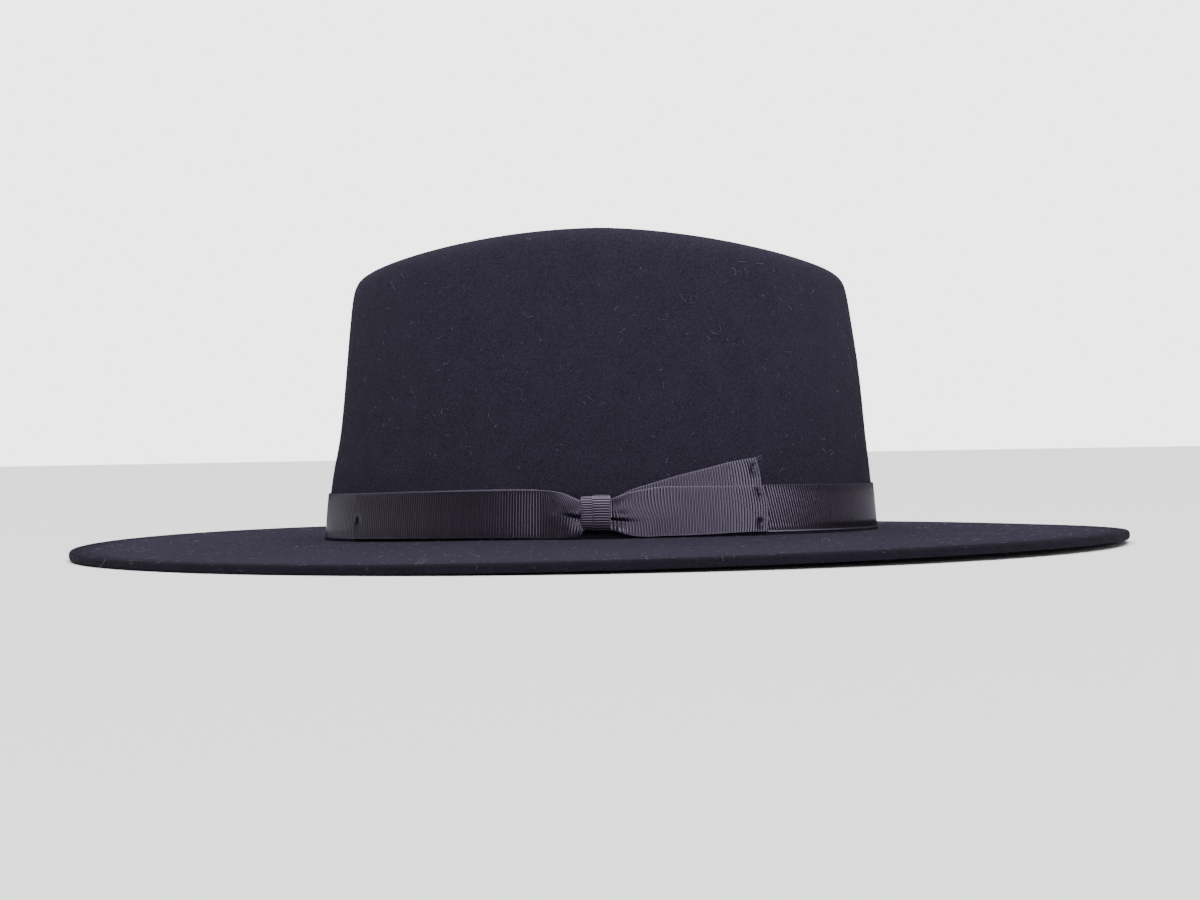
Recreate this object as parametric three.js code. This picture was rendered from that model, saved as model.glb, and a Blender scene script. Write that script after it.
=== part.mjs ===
// A flat-brim felt hat with a crease in its oval crown, a grosgrain band and a flat bow.
// Millimetres, +Z up. -X is the front of the hat and -Y the wearer's left, the side with the bow.
// Z = 0 is the surface that the brim rests on, under the middle of the head opening.
import * as THREE from "three";

// Felt body
const HEAD_LENGTH = 197.6; // inside the crown's foot, front to back
const HEAD_WIDTH = 164; // inside the crown's foot, side to side
const CROWN_HEIGHT = 112; // ridge at the sides, above the surface
const CREASE_DEPTH = 16; // deepest line of the crease, below the ridge
const FRONT_FALL = 10.4; // ridge at the front, below the ridge at the sides
const BACK_FALL = 12; // ridge at the back, below the ridge at the sides
const FRONT_SWEEP = 1.9; // power of the ridge's fall: higher stays level for longer
const BACK_SWEEP = 1.6;
const CROWN_FELT = 2.4;
const BRIM_FELT = 3;
const BRIM_WIDTH = 91.5; // foot of the crown to the cut edge
const BREAK_RADIUS = 2.5; // hollow line where the crown meets the brim
const EDGE_ROUND = 0.7; // cut edge's small rounding
const STAND_AT_FRONT = 1.8; // underside of the brim at the crown's foot, above the surface
const STAND_AT_BACK = 2.4;
const STAND_AT_SIDES = 3.6;
const CROWN_SET_BACK = 0.8; // middle of the crown, behind the middle of the brim
const BRIM_TWIST = 1.06; // half of the edge's rise and fall
const BRIM_SETTLE = 0.2; // how far the felt has given way where it rests

// Band and bow
const CLEARANCE = 0.3; // between one piece and the next
const RIBBON_WIDTH = 16;
const RIBBON_THICKNESS = 0.5;
const BAND_ABOVE_BRIM = 1; // lower edge of the band, above the brim's upper face
const LEFT_LOOP_LENGTH = 95.4; // middle of the knot to the fold, along the band
const RIGHT_LOOP_LENGTH = 59;
const TAIL_LENGTH = 55;
const KNOT_WIDTH = 10; // along the band
const KNOT_HEIGHT = 11.6;
const KNOT_DROP = 0.6; // middle of the knot, below the band's middle
const NECK_THICKNESS = 2.1; // gathered ribbon inside the knot
const LOOP_THICKNESS = 1.4; // two layers of ribbon and the air between them
const PUFF_HEIGHT = 1.6; // how far the gathers stand up beside the knot
const PUFF_TURN = 0.8 * Math.PI; // turn of the gathers' wave from the ribbon's middle to its edge
const NECK_EASE = 2.5; // a strip reaches its own level at this many times its first row's share
const KNOT_CORNER = 0.4; // rounding inside the knot's corners
const BOW_AHEAD = 1.5; // middle of the knot, ahead of the middle of the hat's left side

// Fineness of the surfaces
const AROUND = 60;
const CROWN_STEPS = 24;
const BREAK_STEPS = 3;
const ACROSS_STEPS = 6; // over the width of a bow's strip
const BAND_HEIGHTS = [0, 0.15, 0.5, 1]; // shares of the ribbon's width
const KNOT_STATIONS = [-0.5, -0.17, 0.17, 0.5]; // shares of the knot's width
const CORNER_SHARES = [0, 0.5, 1]; // of a corner's quarter turn
const ARC_STEP = 0.25; // for measuring along the band
const CURVE_TOLERANCE = 1e-5; // share of the crown's curve, for finding a height on it

const HALF_LENGTH = HEAD_LENGTH / 2 + CROWN_FELT;
const HALF_WIDTH = HEAD_WIDTH / 2 + CROWN_FELT;
const LOOP_SEAT = CLEARANCE + RIBBON_THICKNESS + CLEARANCE; // room for one layer of ribbon
const NECK_WIDTH = KNOT_HEIGHT - 2 * RIBBON_THICKNESS - 2 * CLEARANCE;

// The crown's outer skin from the foot to the middle of the crease. front, back and side are shares
// of the foot's half length or half width. rise is a share of the crown's height, sink a share of the
// crease's depth, and slope the share of the ridge's fall to the front and back that a row takes.
const CROWN_ROWS = [
  { front: 0.993, back: 0.994, side: 0.991, rise: 0.15, sink: 0, slope: 0 },
  { front: 0.976, back: 0.983, side: 0.97, rise: 0.26, sink: 0, slope: 0 },
  { front: 0.95, back: 0.97, side: 0.945, rise: 0.38, sink: 0, slope: 0.02 },
  { front: 0.93, back: 0.956, side: 0.917, rise: 0.54, sink: 0, slope: 0.08 },
  { front: 0.914, back: 0.936, side: 0.892, rise: 0.7, sink: 0, slope: 0.2 },
  { front: 0.902, back: 0.92, side: 0.873, rise: 0.82, sink: 0, slope: 0.42 },
  { front: 0.892, back: 0.909, side: 0.857, rise: 0.91, sink: 0, slope: 0.72 },
  { front: 0.876, back: 0.892, side: 0.836, rise: 0.965, sink: 0, slope: 0.92 },
  { front: 0.85, back: 0.863, side: 0.806, rise: 0.993, sink: 0, slope: 1 },
  { front: 0.81, back: 0.82, side: 0.76, rise: 1, sink: 0, slope: 1 },
  { front: 0.765, back: 0.773, side: 0.71, rise: 1, sink: 0.2, slope: 1 },
  { front: 0.715, back: 0.722, side: 0.655, rise: 1, sink: 0.62, slope: 1 },
  { front: 0.64, back: 0.645, side: 0.575, rise: 1, sink: 0.97, slope: 0.85 },
  { front: 0.52, back: 0.52, side: 0.455, rise: 1, sink: 0.96, slope: 0.6 },
  { front: 0.3, back: 0.3, side: 0.26, rise: 1, sink: 0.79, slope: 0.2 },
  { front: 0.1, back: 0.1, side: 0.087, rise: 1, sink: 0.71, slope: 0.02 },
  { front: 0, back: 0, side: 0, rise: 1, sink: 0.7, slope: 0 },
];

// Where the brim has rows of points, as shares of the way from the break to the edge.
const BRIM_SHARES = [0, 0.14, 0.32, 0.5, 0.68, 0.86];
const REST_SHARE = 0.86; // from here out the underside can lie on the surface
const LIFT_SHARE = 0.3; // from here out the edge's rise and fall begins
const BRIM_SWEEP = 1.3; // power of the brim's fall from the crown to the resting zone

// Rows of the bow's strips, from the knot outwards. along is a share of the strip's length and width
// a share of the ribbon's. drop is how far the middle sits below the band's middle, as a share of the
// ribbon's width, puff a share of the gathers' height, and lean the slant of the row.
const LEFT_LOOP_ROWS = [
  { along: 0.085, width: 0.76, drop: 0.1, puff: 0.55, lean: 0 },
  { along: 0.115, width: 0.87, drop: 0.07, puff: 1, lean: 0 },
  { along: 0.16, width: 0.96, drop: 0.04, puff: 0.8, lean: 0 },
  { along: 0.22, width: 0.98, drop: 0.02, puff: 0.4, lean: 0 },
  { along: 0.3, width: 0.99, drop: 0.01, puff: 0.1, lean: 0 },
  { along: 0.44, width: 1, drop: 0, puff: 0, lean: 0 },
  { along: 0.58, width: 1, drop: 0, puff: 0, lean: 0 },
  { along: 0.72, width: 1, drop: 0, puff: 0, lean: 0 },
  { along: 0.86, width: 1, drop: 0, puff: 0, lean: 0 },
  { along: 0.985, width: 1, drop: 0, puff: 0, lean: 0 },
];
const RIGHT_LOOP_ROWS = [
  { along: 0.12, width: 0.74, drop: 0.07, puff: 0.6, lean: 0 },
  { along: 0.18, width: 0.88, drop: 0.06, puff: 1, lean: 0 },
  { along: 0.26, width: 0.97, drop: 0.05, puff: 0.8, lean: 0 },
  { along: 0.36, width: 1, drop: 0.035, puff: 0.45, lean: 0 },
  { along: 0.5, width: 1, drop: 0.02, puff: 0.15, lean: 0 },
  { along: 0.66, width: 0.99, drop: 0.01, puff: 0, lean: 0 },
  { along: 0.82, width: 0.98, drop: 0, puff: 0, lean: 0 },
  { along: 0.975, width: 0.97, drop: 0, puff: 0, lean: 0 },
];
const TAIL_ROWS = [
  { along: 0.13, width: 0.7, drop: 0.03, puff: 0, lean: 0 },
  { along: 0.2, width: 0.86, drop: 0, puff: 0, lean: 0.06 },
  { along: 0.32, width: 1, drop: -0.05, puff: 0, lean: 0.16 },
  { along: 0.48, width: 1.03, drop: -0.19, puff: 0, lean: 0.23 },
  { along: 0.66, width: 1.03, drop: -0.34, puff: 0, lean: 0.24 },
  { along: 0.83, width: 1.03, drop: -0.48, puff: 0, lean: 0.24 },
  { along: 1, width: 1, drop: -0.6, puff: 0, lean: 0.26 },
];

// The band is drawn in behind the knot. away is the distance from the knot's middle, in millimetres.
const BAND_PINCH = [
  { away: 0, width: 0.56, drop: 0.04 },
  { away: 5.3, width: 0.56, drop: 0.04 },
  { away: 7.5, width: 0.66, drop: 0.05 },
  { away: 10.5, width: 0.8, drop: 0.05 },
  { away: 15, width: 0.92, drop: 0.03 },
  { away: 22, width: 0.98, drop: 0.01 },
  { away: 32, width: 1, drop: 0 },
];

const felt = new THREE.MeshStandardMaterial({ color: 0x2a2935, roughness: 0.96, metalness: 0 });
const ribbon = new THREE.MeshStandardMaterial({ color: 0x3d3a46, roughness: 0.62, metalness: 0 });

function angles() {
  return Array.from({ length: AROUND }, (_, k) => (k / AROUND) * 2 * Math.PI);
}

// How high the brim's underside is at the crown's foot: the brim is a little higher at the sides.
function brimStand(angle) {
  const atEnd = Math.cos(angle) > 0 ? STAND_AT_BACK : STAND_AT_FRONT;
  return THREE.MathUtils.lerp(atEnd, STAND_AT_SIDES, Math.sin(angle) ** 2);
}

function footTop(angle) {
  return brimStand(angle) + BRIM_FELT;
}

function edgeLift(angle) {
  return Math.max(0, BRIM_TWIST * (1 - Math.sin(2 * angle)) - BRIM_SETTLE);
}

// A point of the brim's underside, share of the way from the break to the edge, or raised above it.
function brimPoint(share, angle, raised, inset = 0) {
  const out = BREAK_RADIUS + share * (BRIM_WIDTH - BREAK_RADIUS) - inset;
  const fall = Math.max(0, 1 - share / REST_SHARE) ** BRIM_SWEEP;
  const lift = THREE.MathUtils.smoothstep(share, LIFT_SHARE, REST_SHARE) * edgeLift(angle);
  return new THREE.Vector3(
    CROWN_SET_BACK * (1 - share) + (HALF_LENGTH + out) * Math.cos(angle),
    (HALF_WIDTH + out) * Math.sin(angle),
    brimStand(angle) * fall + lift + raised,
  );
}

// A point of the hollow line between brim and wall, from 0 at the brim to 1 at the wall.
function breakPoint(share, angle) {
  const turn = (share * Math.PI) / 2;
  const out = BREAK_RADIUS * (1 - Math.sin(turn));
  return new THREE.Vector3(
    CROWN_SET_BACK + (HALF_LENGTH + out) * Math.cos(angle),
    (HALF_WIDTH + out) * Math.sin(angle),
    footTop(angle) + BREAK_RADIUS * (1 - Math.cos(turn)),
  );
}

function crownPoint(row, angle) {
  const towardsBack = Math.cos(angle) > 0;
  const endShare = towardsBack ? row.back : row.front;
  const [fall, sweep] = towardsBack ? [BACK_FALL, BACK_SWEEP] : [FRONT_FALL, FRONT_SWEEP];
  const lowered = row.slope * fall * Math.abs(Math.cos(angle)) ** sweep;
  return new THREE.Vector3(
    CROWN_SET_BACK + HALF_LENGTH * endShare * Math.cos(angle),
    HALF_WIDTH * row.side * Math.sin(angle),
    CROWN_HEIGHT * row.rise - CREASE_DEPTH * row.sink - lowered,
  );
}

function crownCurve(angle) {
  const points = [breakPoint(1, angle), ...CROWN_ROWS.map((row) => crownPoint(row, angle))];
  return new THREE.CatmullRomCurve3(points);
}

// The outer skin from the cut edge, over the brim and the crown, to the middle of the crease.
function outerSkin() {
  const brim = [...BRIM_SHARES].reverse();
  const breaks = Array.from({ length: BREAK_STEPS }, (_, k) => (k + 1) / BREAK_STEPS);
  const columns = angles().map((angle) => [
    ...brim.map((share) => brimPoint(share, angle, BRIM_FELT)),
    ...breaks.map((share) => breakPoint(share, angle)),
    ...crownCurve(angle).getPoints(CROWN_STEPS).slice(1),
  ]);
  return columns[0].map((_, row) => columns.map((column) => column[row]));
}

function outwardNormal(rings, row, k) {
  const ring = rings[row];
  const along = new THREE.Vector3().subVectors(rings[row + 1][k], rings[row - 1][k]);
  const round = new THREE.Vector3().subVectors(ring[(k + 1) % AROUND], ring[(k - 1 + AROUND) % AROUND]);
  return round.cross(along).normalize();
}

// Crown and brim are one body: the outer skin, the cut edge, the underside and the inner skin.
function feltBody() {
  const outer = outerSkin();
  const brimRows = BRIM_SHARES.length;
  const pole = outer.length - 1;
  const inner = [];
  for (let row = brimRows; row < pole; row += 1) {
    const share = Math.min(1, (row + 1 - brimRows) / BREAK_STEPS);
    const wall = THREE.MathUtils.lerp(BRIM_FELT, CROWN_FELT, share);
    const place = (point, k) => point.clone().addScaledVector(outwardNormal(outer, row, k), -wall);
    inner.push(outer[row].map(place));
  }
  const ring = (share, raised, inset) => angles().map((angle) => brimPoint(share, angle, raised, inset));
  const rings = [
    ...outer.slice(0, pole).reverse(),
    ring(1, BRIM_FELT, EDGE_ROUND),
    ring(1, BRIM_FELT - EDGE_ROUND, 0),
    ring(1, EDGE_ROUND, 0),
    ring(1, 0, EDGE_ROUND),
    ...[...BRIM_SHARES].reverse().map((share) => ring(share, 0, 0)),
    ...inner,
  ];
  const top = outer[pole][0];
  const under = top.clone().setZ(top.z - CROWN_FELT);
  return loft(rings, { firstPole: top, lastPole: under });
}

// Joins loops of points, each as long as the next, into one closed body. The ends are joined to each
// other, brought to a pole each, or capped across, where a loop is a strip's two faces end to end.
function loft(loops, { joined = false, firstPole = null, lastPole = null } = {}) {
  const count = loops[0].length;
  const points = loops.flat();
  const faces = [];
  const last = (loops.length - 1) * count;
  for (let row = 0; row < loops.length - (joined ? 0 : 1); row += 1) {
    const here = row * count;
    const next = ((row + 1) % loops.length) * count;
    for (let k = 0; k < count; k += 1) {
      const after = (k + 1) % count;
      faces.push([here + k, next + k, next + after], [here + k, next + after, here + after]);
    }
  }
  if (firstPole) {
    points.push(firstPole, lastPole);
    for (let k = 0; k < count; k += 1) {
      const after = (k + 1) % count;
      faces.push([points.length - 2, k, after], [points.length - 1, last + after, last + k]);
    }
  } else if (!joined) {
    for (let k = 0; k < count / 2 - 1; k += 1) {
      const across = count - 1 - k;
      faces.push([k, k + 1, across - 1], [k, across - 1, across]);
      faces.push([last + k, last + across - 1, last + k + 1], [last + k, last + across, last + across - 1]);
    }
  }
  const geometry = new THREE.BufferGeometry().setFromPoints(points);
  geometry.setIndex(faces.flat());
  geometry.computeVertexNormals();
  return geometry;
}

// The point of the crown's outer skin at a height, moved straight out by standOff.
function besideWall(angle, height, standOff) {
  const onBreak = (height - footTop(angle)) / BREAK_RADIUS;
  let point;
  if (onBreak < 1) {
    point = breakPoint((Math.acos(1 - Math.max(0, onBreak)) * 2) / Math.PI, angle);
  } else {
    const curve = crownCurve(angle);
    let [low, high] = [0, 0.5]; // the wall is in the curve's first half
    while (high - low > CURVE_TOLERANCE) {
      const middle = (low + high) / 2;
      [low, high] = curve.getPoint(middle).z < height ? [middle, high] : [low, middle];
    }
    point = curve.getPoint(low);
  }
  const out = new THREE.Vector3(Math.cos(angle) / HALF_LENGTH, Math.sin(angle) / HALF_WIDTH, 0).normalize();
  return point.setZ(height).addScaledVector(out, standOff);
}

function bandFoot(angle) {
  return footTop(angle) + BAND_ABOVE_BRIM;
}

// Where the band has columns of points: the drawn-in stretch first, then evenly round the crown.
function bandColumns() {
  const column = (side) => ({ away, width, drop }) => (
    { angle: angleAlongBand(side * away - BOW_AHEAD), width, drop }
  );
  const pinched = [...BAND_PINCH.slice(1).reverse().map(column(-1)), ...BAND_PINCH.map(column(1))];
  const start = pinched[pinched.length - 1].angle;
  const open = 2 * Math.PI - (start - pinched[0].angle);
  const count = Math.round((open / (2 * Math.PI)) * AROUND);
  const even = Array.from({ length: count - 1 }, (_, k) => (
    { angle: start + ((k + 1) / count) * open, width: 1, drop: 0 }
  ));
  return [...pinched, ...even];
}

function hatBand() {
  const near = CLEARANCE;
  const far = CLEARANCE + RIBBON_THICKNESS;
  const loops = bandColumns().map(({ angle, width, drop }) => {
    const middle = bandFoot(angle) + (0.5 - drop) * RIBBON_WIDTH;
    const face = (standOff) => BAND_HEIGHTS.map((share) => (
      besideWall(angle, middle + (share - 0.5) * width * RIBBON_WIDTH, standOff)
    ));
    return [...face(far), ...face(near).reverse()];
  });
  return loft(loops, { joined: true });
}

// The angle on the oval at a distance from the middle of the left side, positive towards the back.
function angleAlongBand(distance) {
  const step = (Math.sign(distance) * ARC_STEP) / HALF_LENGTH;
  let angle = -Math.PI / 2;
  let travelled = 0;
  while (step !== 0 && travelled < Math.abs(distance)) {
    const stretch = Math.hypot(HALF_LENGTH * Math.sin(angle), HALF_WIDTH * Math.cos(angle)) * Math.abs(step);
    const share = Math.min(1, (Math.abs(distance) - travelled) / stretch);
    angle += step * share;
    travelled += stretch;
  }
  return angle;
}

// A point beside the band: distance from the bow's middle, height above the band's middle line.
function besideBand(distance, height, standOff) {
  const angle = angleAlongBand(distance - BOW_AHEAD);
  const middle = bandFoot(angle) + RIBBON_WIDTH / 2;
  return besideWall(angle, middle + height, CLEARANCE + RIBBON_THICKNESS + standOff);
}

// One strip of the bow. Its neck lies inside the knot, and its rows follow from there.
function bowStrip({ direction, length, rows, seat, thickness, neckSeat, neckThickness }) {
  const neckEnd = KNOT_WIDTH / 2 + CLEARANCE;
  const drop = KNOT_DROP / RIBBON_WIDTH;
  const neck = { width: NECK_WIDTH, drop, puff: 0, lean: 0, seat: neckSeat, thickness: neckThickness };
  const sections = [{ ...neck, distance: CLEARANCE / 2 }, { ...neck, distance: neckEnd }];
  rows.forEach((row) => {
    const down = THREE.MathUtils.smoothstep(row.along, rows[0].along, NECK_EASE * rows[0].along);
    sections.push({
      ...row,
      distance: row.along * length,
      width: row.width * RIBBON_WIDTH,
      seat: THREE.MathUtils.lerp(neckSeat, seat, down),
      thickness: THREE.MathUtils.lerp(neckThickness, thickness, down),
    });
  });
  const loops = sections.map((section) => {
    const face = (base, puffed) => Array.from({ length: ACROSS_STEPS + 1 }, (_, k) => {
      const across = 1 - (2 * k) / ACROSS_STEPS;
      const height = (across * section.width) / 2 - section.drop * RIBBON_WIDTH;
      const humps = puffed * section.puff * PUFF_HEIGHT * Math.abs(Math.sin(across * PUFF_TURN));
      const distance = section.distance - (section.lean * across * section.width) / 2;
      return besideBand(direction * distance, height, base + humps);
    });
    const loop = [...face(section.seat + section.thickness, 1), ...face(section.seat, 0).reverse()];
    return direction < 0 ? loop : loop.reverse();
  });
  return loft(loops);
}

function bowLeftLoop() {
  return bowStrip({
    direction: -1,
    length: LEFT_LOOP_LENGTH,
    rows: LEFT_LOOP_ROWS,
    seat: CLEARANCE,
    thickness: LOOP_THICKNESS,
    neckSeat: LOOP_SEAT,
    neckThickness: NECK_THICKNESS,
  });
}

function bowRightLoop() {
  const overTail = LOOP_SEAT + RIBBON_THICKNESS + CLEARANCE;
  return bowStrip({
    direction: 1,
    length: RIGHT_LOOP_LENGTH,
    rows: RIGHT_LOOP_ROWS,
    seat: LOOP_SEAT,
    thickness: LOOP_THICKNESS,
    neckSeat: overTail,
    neckThickness: NECK_THICKNESS - RIBBON_THICKNESS - CLEARANCE,
  });
}

function bowTail() {
  return bowStrip({
    direction: 1,
    length: TAIL_LENGTH,
    rows: TAIL_ROWS,
    seat: CLEARANCE,
    thickness: RIBBON_THICKNESS,
    neckSeat: LOOP_SEAT,
    neckThickness: RIBBON_THICKNESS,
  });
}

// The knot is a sleeve of ribbon round the necks of the two loops and the tail.
function bowKnot() {
  const outline = (grown) => {
    const halfHeight = NECK_WIDTH / 2 + CLEARANCE + grown;
    const [low, high] = [LOOP_SEAT - CLEARANCE - grown, LOOP_SEAT + NECK_THICKNESS + CLEARANCE + grown];
    const corner = KNOT_CORNER + grown;
    const centres = [[1, high], [-1, high], [-1, low], [1, low]];
    return centres.flatMap(([side, level], quarter) => CORNER_SHARES.map((share) => {
      const turn = ((quarter + share) * Math.PI) / 2;
      const inwards = level === high ? -corner : corner;
      return [
        side * (halfHeight - corner) + corner * Math.cos(turn) - KNOT_DROP,
        level + inwards + corner * Math.sin(turn),
      ];
    }));
  };
  const inside = outline(0);
  const outside = outline(RIBBON_THICKNESS);
  const stations = KNOT_STATIONS.map((share) => share * KNOT_WIDTH);
  const loops = inside.map((_, k) => {
    const run = (line) => stations.map((distance) => besideBand(distance, ...line[k]));
    return [...run(outside), ...run(inside).reverse()];
  });
  return loft(loops, { joined: true });
}

function piece(name, geometry, material) {
  const mesh = new THREE.Mesh(geometry, material);
  mesh.name = name;
  return mesh;
}

const hat = new THREE.Group();
hat.add(
  piece("felt_body", feltBody(), felt),
  piece("hat_band", hatBand(), ribbon),
  piece("bow_left_loop", bowLeftLoop(), ribbon),
  piece("bow_right_loop", bowRightLoop(), ribbon),
  piece("bow_tail", bowTail(), ribbon),
  piece("bow_knot", bowKnot(), ribbon),
);

export default hat;
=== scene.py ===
# %% [markdown]
# A flat-brim felt hat, dressed over its CAD frame.
# The real hat is one piece of wool felt, blocked over a wooden form, with a grosgrain ribbon round
# the crown's foot and a flat bow on the wearer's left. The frame gives its shape and its place. This
# file adds what the frame leaves out: the felt's softness and fibres, and the ribbon's ribs, folds and
# stitches.

# %% Load the frame
import bisect
import math
import random

import bmesh
import bpy
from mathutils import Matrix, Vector
from mathutils.bvhtree import BVHTree


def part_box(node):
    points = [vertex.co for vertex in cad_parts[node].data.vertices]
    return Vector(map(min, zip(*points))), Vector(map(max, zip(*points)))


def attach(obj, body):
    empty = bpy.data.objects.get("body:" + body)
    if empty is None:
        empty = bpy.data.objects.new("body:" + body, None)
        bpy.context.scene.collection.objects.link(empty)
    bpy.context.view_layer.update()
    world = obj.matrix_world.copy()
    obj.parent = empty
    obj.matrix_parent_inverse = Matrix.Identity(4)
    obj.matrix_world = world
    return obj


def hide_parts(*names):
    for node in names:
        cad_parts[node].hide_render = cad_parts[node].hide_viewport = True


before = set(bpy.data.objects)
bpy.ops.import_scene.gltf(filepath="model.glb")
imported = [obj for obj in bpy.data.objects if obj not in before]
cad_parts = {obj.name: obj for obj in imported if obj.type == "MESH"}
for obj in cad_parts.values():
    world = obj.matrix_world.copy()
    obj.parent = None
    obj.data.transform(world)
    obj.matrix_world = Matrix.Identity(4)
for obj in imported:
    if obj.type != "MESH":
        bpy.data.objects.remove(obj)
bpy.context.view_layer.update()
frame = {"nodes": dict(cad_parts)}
MM = 0.001
print("frame:", ", ".join(frame["nodes"]))

# %% [markdown]
# The camera stands level with the band, eighty centimetres from the middle of the hat, and is rolled
# by one degree, because the photographed hat seems to lean a little. The focal length was measured
# in the photo's own pixels, so the lens follows from it and the sensor's width.

# %% Camera
PHOTO_WIDTH = 1200  # pixels
FOCAL_LENGTH = 2149  # pixels of the photo
SENSOR_WIDTH = 36  # millimetres
CAMERA_PLACE = (0.8 * MM, -800 * MM, 36.05 * MM)
CAMERA_PITCH = math.radians(90)  # level
CAMERA_ROLL = math.radians(0.99)
camera_data = bpy.data.cameras.new("camera")
camera_data.sensor_width = SENSOR_WIDTH
camera_data.lens = SENSOR_WIDTH * FOCAL_LENGTH / PHOTO_WIDTH
camera = bpy.data.objects.new("camera", camera_data)
camera.location = CAMERA_PLACE
camera.rotation_euler = (CAMERA_PITCH, CAMERA_ROLL, 0)
bpy.context.collection.objects.link(camera)
bpy.context.scene.camera = camera
print("lens:", round(camera_data.lens, 1), "mm")

# %% [markdown]
# The driving sizes are the same as in the part's source, in metres. The ribbon is a sheet half a
# millimetre thick, and a rib of grosgrain is about one millimetre wide. The ribs are only made here,
# and so are the few that the loose end of the tail has beyond its solid.

# %% Driving sizes
HALF_LENGTH = 101.2 * MM  # of the crown's foot, front to back
HALF_WIDTH = 84.4 * MM
CROWN_SET_BACK = 0.8 * MM
BREAK_RADIUS = 2.5 * MM
CLEARANCE = 0.3 * MM
RIBBON_WIDTH = 16 * MM
RIBBON_THICKNESS = 0.5 * MM
BAND_ABOVE_BRIM = 1 * MM
LEFT_LOOP_LENGTH = 95.4 * MM
RIGHT_LOOP_LENGTH = 59 * MM
RIGHT_LOOP_REACH = RIGHT_LOOP_LENGTH - 0.7 * MM  # of the fold's corners: its middle bows out further
TAIL_LENGTH = 55 * MM
TAIL_REACH = TAIL_LENGTH + 2.2 * MM  # with the last two ribs, which hang by their threads
KNOT_WIDTH = 10 * MM
KNOT_HEIGHT = 11.6 * MM
KNOT_DROP = 0.6 * MM
NECK_THICKNESS = 2.1 * MM
LOOP_THICKNESS = 1.4 * MM
BOW_AHEAD = 1.5 * MM
LOOP_SEAT = 2 * CLEARANCE + RIBBON_THICKNESS
BAND_FACE = CLEARANCE + RIBBON_THICKNESS
SHEET = 0.36 * MM  # thickness of the woven sheet before its ribs stand up
RIB_PITCH = 0.97 * MM
BAND_RIB_PITCH = 1.08 * MM  # stretched a little round the crown
RIB_HEIGHT = 0.18 * MM
BORDER_WIDTH = 0.55 * MM

# %% [markdown]
# Node trees are easier to read when a node is added and fed in one line. This small helper takes a
# node's inputs by name, and links a socket or sets a number, whichever it is given.

# %% A helper for node trees
class Net:
    """Adds nodes to a node tree and feeds their inputs."""

    def __init__(self, tree):
        self.tree = tree

    def add(self, kind, inputs=None, **settings):
        node = self.tree.nodes.new(kind)
        for name, value in settings.items():
            setattr(node, name, value)
        for name, value in (inputs or {}).items():
            self.feed(node.inputs[name], value)
        return node

    def feed(self, socket, value):
        if isinstance(value, bpy.types.NodeSocket):
            self.tree.links.new(value, socket)
        else:
            socket.default_value = value

    def math(self, operation, *values, clamp=False):
        kind = "ShaderNodeMath"
        return self.add(kind, dict(enumerate(values)), operation=operation, use_clamp=clamp).outputs[0]

    def vector(self, operation, *values):
        node = self.add("ShaderNodeVectorMath", operation=operation)
        for index, value in enumerate(values):
            self.feed(node.inputs["Scale" if operation == "SCALE" and index else index], value)
        return node.outputs["Value" if operation in {"DOT_PRODUCT", "LENGTH"} else "Vector"]

    def remap(self, value, low, high, to_low=0.0, to_high=1.0):
        inputs = {"Value": value, "From Min": low, "From Max": high, "To Min": to_low, "To Max": to_high}
        return self.add("ShaderNodeMapRange", inputs, interpolation_type="SMOOTHSTEP").outputs["Result"]


def new_tree(name, kind, inputs, outputs):
    """A node tree with named sockets. Returns the helper, the inputs' sockets and the output node."""
    tree = bpy.data.node_groups.new(name, kind)
    for label, (socket_type, value) in inputs.items():
        socket = tree.interface.new_socket(label, in_out="INPUT", socket_type=socket_type)
        if value is not None:
            socket.default_value = value
    for label, socket_type in outputs.items():
        tree.interface.new_socket(label, in_out="OUTPUT", socket_type=socket_type)
    net = Net(tree)
    return net, net.add("NodeGroupInput").outputs, net.add("NodeGroupOutput")


GEOMETRY = ("NodeSocketGeometry", None)
MATERIAL = ("NodeSocketMaterial", None)


def number(value):
    return ("NodeSocketFloat", value)


def whole(value):
    return ("NodeSocketInt", value)


print("node helper ready")

# %% [markdown]
# Felt has no weave. Close up it is a mat of curly fibres, and from further off its colour is cloudy.
# Both come from one node group, which the felt, the ribbon and the hairs use with their own sizes. A
# noise whose middle value is drawn as a ridge makes thin winding lines, much like fibres in a mat.

# %% Fibre grain group
grain_net, grain_in, grain_out = new_tree(
    "Fibre grain",
    "ShaderNodeTree",
    {"Fibre Size": number(0.6 * MM), "Cloud Size": number(6 * MM)},
    {"Fibres": "NodeSocketFloat", "Clouds": "NodeSocketFloat"},
)
FIBRE_SHARPNESS = 5.0  # a higher power draws thinner lines
FINE_SIZE_SHARE = 0.45  # of the coarse fibres' size
COARSE_WEIGHT = 0.5
FINE_WEIGHT = 0.6
grain_place = grain_net.add("ShaderNodeTexCoord").outputs["Object"]


def grain_noise(size, detail, distortion=0.0):
    scale = grain_net.math("DIVIDE", 1.0, size)
    inputs = {"Vector": grain_place, "Scale": scale, "Detail": detail, "Distortion": distortion}
    return grain_net.add("ShaderNodeTexNoise", inputs).outputs["Fac"]


def grain_ridge(noise):
    away = grain_net.math("ABSOLUTE", grain_net.math("MULTIPLY_ADD", noise, 2.0, -1.0))
    near = grain_net.math("SUBTRACT", 1.0, away, clamp=True)
    return grain_net.math("POWER", near, FIBRE_SHARPNESS)


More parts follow.
